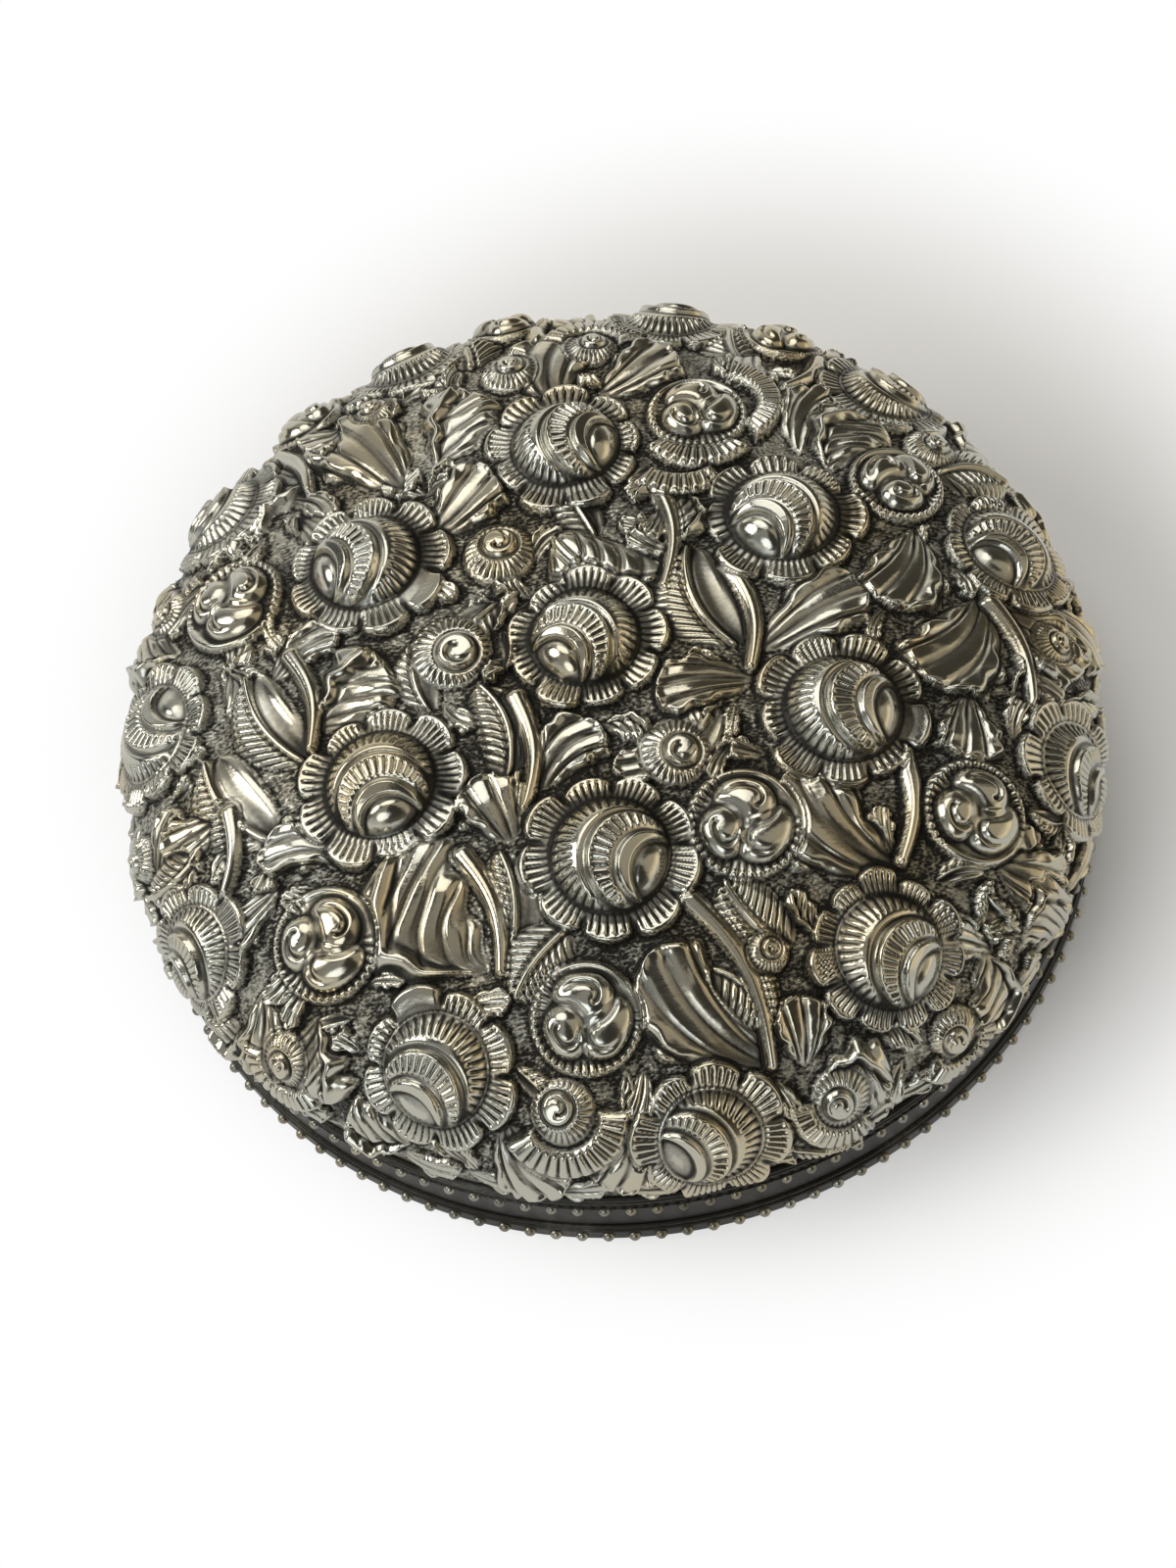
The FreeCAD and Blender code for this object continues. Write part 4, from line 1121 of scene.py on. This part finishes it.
class SetStage(bpy.types.Operator):
    """Lay the floor, hang the lights and stand the camera."""

    bl_idname = "keepsake.set_stage"
    bl_label = "Set stage"

    def execute(self, context):
        scene = context.scene
        scene.view_settings.view_transform = "Standard"
        self.lay_floor(scene)
        self.light_room(scene)
        self.hang_lamps(scene)
        self.stand_camera(scene)
        return {"FINISHED"}

    def lay_floor(self, scene):
        """Pale floor, wide enough for any view: white to the eye, apart from the box's shadow near it."""
        material, tree, shader = new_finish("studio_floor")
        tone = ramp(tree, grain(tree, 3.0), 0.2, 0.8)
        pale = opaque(scene.box_colours.floor)
        dim = opaque(0.985 * part for part in pale[:3])
        feed(tree, shader, {"Base Color": blend_colours(tree, tone, pale, dim), "Roughness": 0.9})
        camera, glossy, through = (add_node(tree, "ShaderNodeLightPath", {}, {}, f"Is {ray} Ray")
                                   for ray in ("Camera", "Glossy", "Transmission"))
        glow = add_node(tree, "ShaderNodeEmission", {}, {"Strength": 1.0})
        place = add_node(tree, "ShaderNodeTexCoord", {}, {}, "Object")
        shadow_middle, shadow_near, shadow_far = (0.022, 0.02, 0), 0.066, 0.115
        ends = {0: place, 1: shadow_middle}
        off = add_node(tree, "ShaderNodeVectorMath", {"operation": "DISTANCE"}, ends, "Value")
        shown = camera * (ramp(tree, off, shadow_near, shadow_far) * 0.9 + 0.1) + (glossy + through) * 0.4
        plain = Socket(tree, shader.outputs[0])
        mixed = add_node(tree, "ShaderNodeMixShader", {}, {0: shown, 1: plain, 2: glow})
        feed(tree, tree.nodes["Material Output"], {"Surface": mixed})
        right, away = disc_grid(8)
        reach, drop = 4, 0.0001
        plane = np.stack([reach * right, reach * away, 0 * right - drop], -1)
        floor = surface("studio_floor", plane, material)

    def light_room(self, scene):
        """Grey room with three pale walls, cool at the left, warm at the right; the camera sees it white."""
        world = bpy.data.worlds.new("studio_room")
        world.use_nodes = True
        scene.world = world
        tree = world.node_tree
        way = add_node(tree, "ShaderNodeTexCoord", {}, {}, "Generated")
        side, ahead, height = (add_node(tree, "ShaderNodeSeparateXYZ", {}, {"Vector": way}, axis)
                               for axis in "XYZ")
        round_room = side.maths("ARCTAN2", ahead, side)
        walls = ramp(tree, side.maths("SINE", round_room * 3.0 + 2.2), -0.35, 0.45)
        shade = add_node(tree, "ShaderNodeValToRGB", {}, {"Fac": height})
        stops = shade.output.node.color_ramp.elements
        stops[0].color, stops[1].color = (0.72, 0.72, 0.72, 1), (0.3, 0.3, 0.31, 1)
        for position, colour in ((0.16, (0.66, 0.66, 0.67, 1)), (0.42, (0.3, 0.3, 0.31, 1))):
            stops.new(position).color = colour
        tint = blend_colours(tree, side * 0.5 + 0.5, (0.95, 1.0, 1.02, 1), (1.0, 0.86, 0.6, 1))
        shade = blend_colours(tree, 1.0, shade, tint, "MULTIPLY")
        seen = add_node(tree, "ShaderNodeLightPath", {}, {}, "Is Camera Ray")
        level = (1.03 + side * 0.26 + ahead * 0.18) * (walls * 1.2 + 0.18)
        feed(tree, tree.nodes["Background"], {
            "Color": blend_colours(tree, seen, shade, (1, 1, 1, 1)),
            "Strength": level * (1 - seen) + seen,
        })

    def hang_lamps(self, scene):
        """Window-like key at the left, a softer lamp above and behind, and a weak cool fill in front."""
        aim = Vector((0, 0, 0.02))
        for name, place, size, power, colour in (
            ("key_window", (-0.75, 0.1, 0.6), 0.6, 3.8, (1.0, 0.98, 0.93)),
            ("top_lamp", (-0.15, 0.4, 1.0), 0.9, 3.4, (1.0, 0.99, 0.96)),
            ("front_fill", (-0.35, -0.8, 0.55), 0.6, 1.6, (0.88, 0.94, 1.0)),
        ):
            lamp = bpy.data.lights.new(name, "AREA")
            lamp.shape, lamp.size, lamp.energy, lamp.color = "DISK", size, power, colour
            holder = bpy.data.objects.new(name, lamp)
            scene.collection.objects.link(holder)
            turn = (aim - Vector(place)).to_track_quat("-Z", "Y")
            holder.matrix_world = Matrix.Translation(place) @ turn.to_matrix().to_4x4()

    def stand_camera(self, scene):
        """Camera on a tilted axis through the pivot, rolled about its view and aimed a little off it."""
        stage = scene.stage_settings
        pivot = Vector((0, 0, stage.pivot_height))
        ahead = Vector((0, math.cos(stage.eye_lift), -math.sin(stage.eye_lift)))
        side = Vector((1, 0, 0))
        above = side.cross(ahead)
        turn_cos, turn_sin = math.cos(stage.eye_roll), math.sin(stage.eye_roll)
        right = turn_cos * side + turn_sin * above
        up = turn_cos * above - turn_sin * side
        eye = pivot - stage.eye_distance * ahead
        ahead = (pivot - stage.aim_right * right - stage.aim_up * up - eye).normalized()
        right = (right - right.dot(ahead) * ahead).normalized()
        up = right.cross(ahead)
        camera = bpy.data.cameras.new("photo_camera")
        camera.sensor_fit, camera.sensor_height, camera.lens = "VERTICAL", 24.0, stage.lens
        camera.clip_start = 0.01
        holder = bpy.data.objects.new("photo_camera", camera)
        holder.matrix_world = Matrix((right, up, -ahead)).transposed().to_4x4()
        holder.location = eye
        scene.collection.objects.link(holder)
        scene.camera = holder


class KeepsakePanel(bpy.types.Panel):
    """Lists the sizes, colours and steps of the box."""

    bl_idname = "VIEW3D_PT_keepsake_box"
    bl_label = "Keepsake box"
    bl_space_type = "VIEW_3D"
    bl_region_type = "UI"
    bl_category = "Keepsake box"

    def draw(self, context):
        for key in GROUPS:
            group = getattr(context.scene, key)
            for name in group.__annotations__:
                self.layout.prop(group, name)
        for step in STEPS:
            self.layout.operator(step.bl_idname)


GROUPS = {
    "crown_sizes": CrownSizes,
    "band_sizes": BandSizes,
    "box_colours": Colours,
    "stage_settings": StageSettings,
}
STEPS = (RaiseCrown, TurnLidBands, SetBeads, TurnBase, LayVelvet, SetStage)


def register():
    for name, group in GROUPS.items():
        bpy.utils.register_class(group)
        setattr(bpy.types.Scene, name, bpy.props.PointerProperty(type=group))
    for step in STEPS + (KeepsakePanel,):
        bpy.utils.register_class(step)


def unregister():
    for step in (KeepsakePanel,) + STEPS[::-1]:
        bpy.utils.unregister_class(step)
    for name, group in GROUPS.items():
        delattr(bpy.types.Scene, name)
        bpy.utils.unregister_class(group)


def main():
    register()
    for step in STEPS:
        group, name = step.bl_idname.split(".")
        getattr(getattr(bpy.ops, group), name)()


if __name__ == "__main__":
    main()
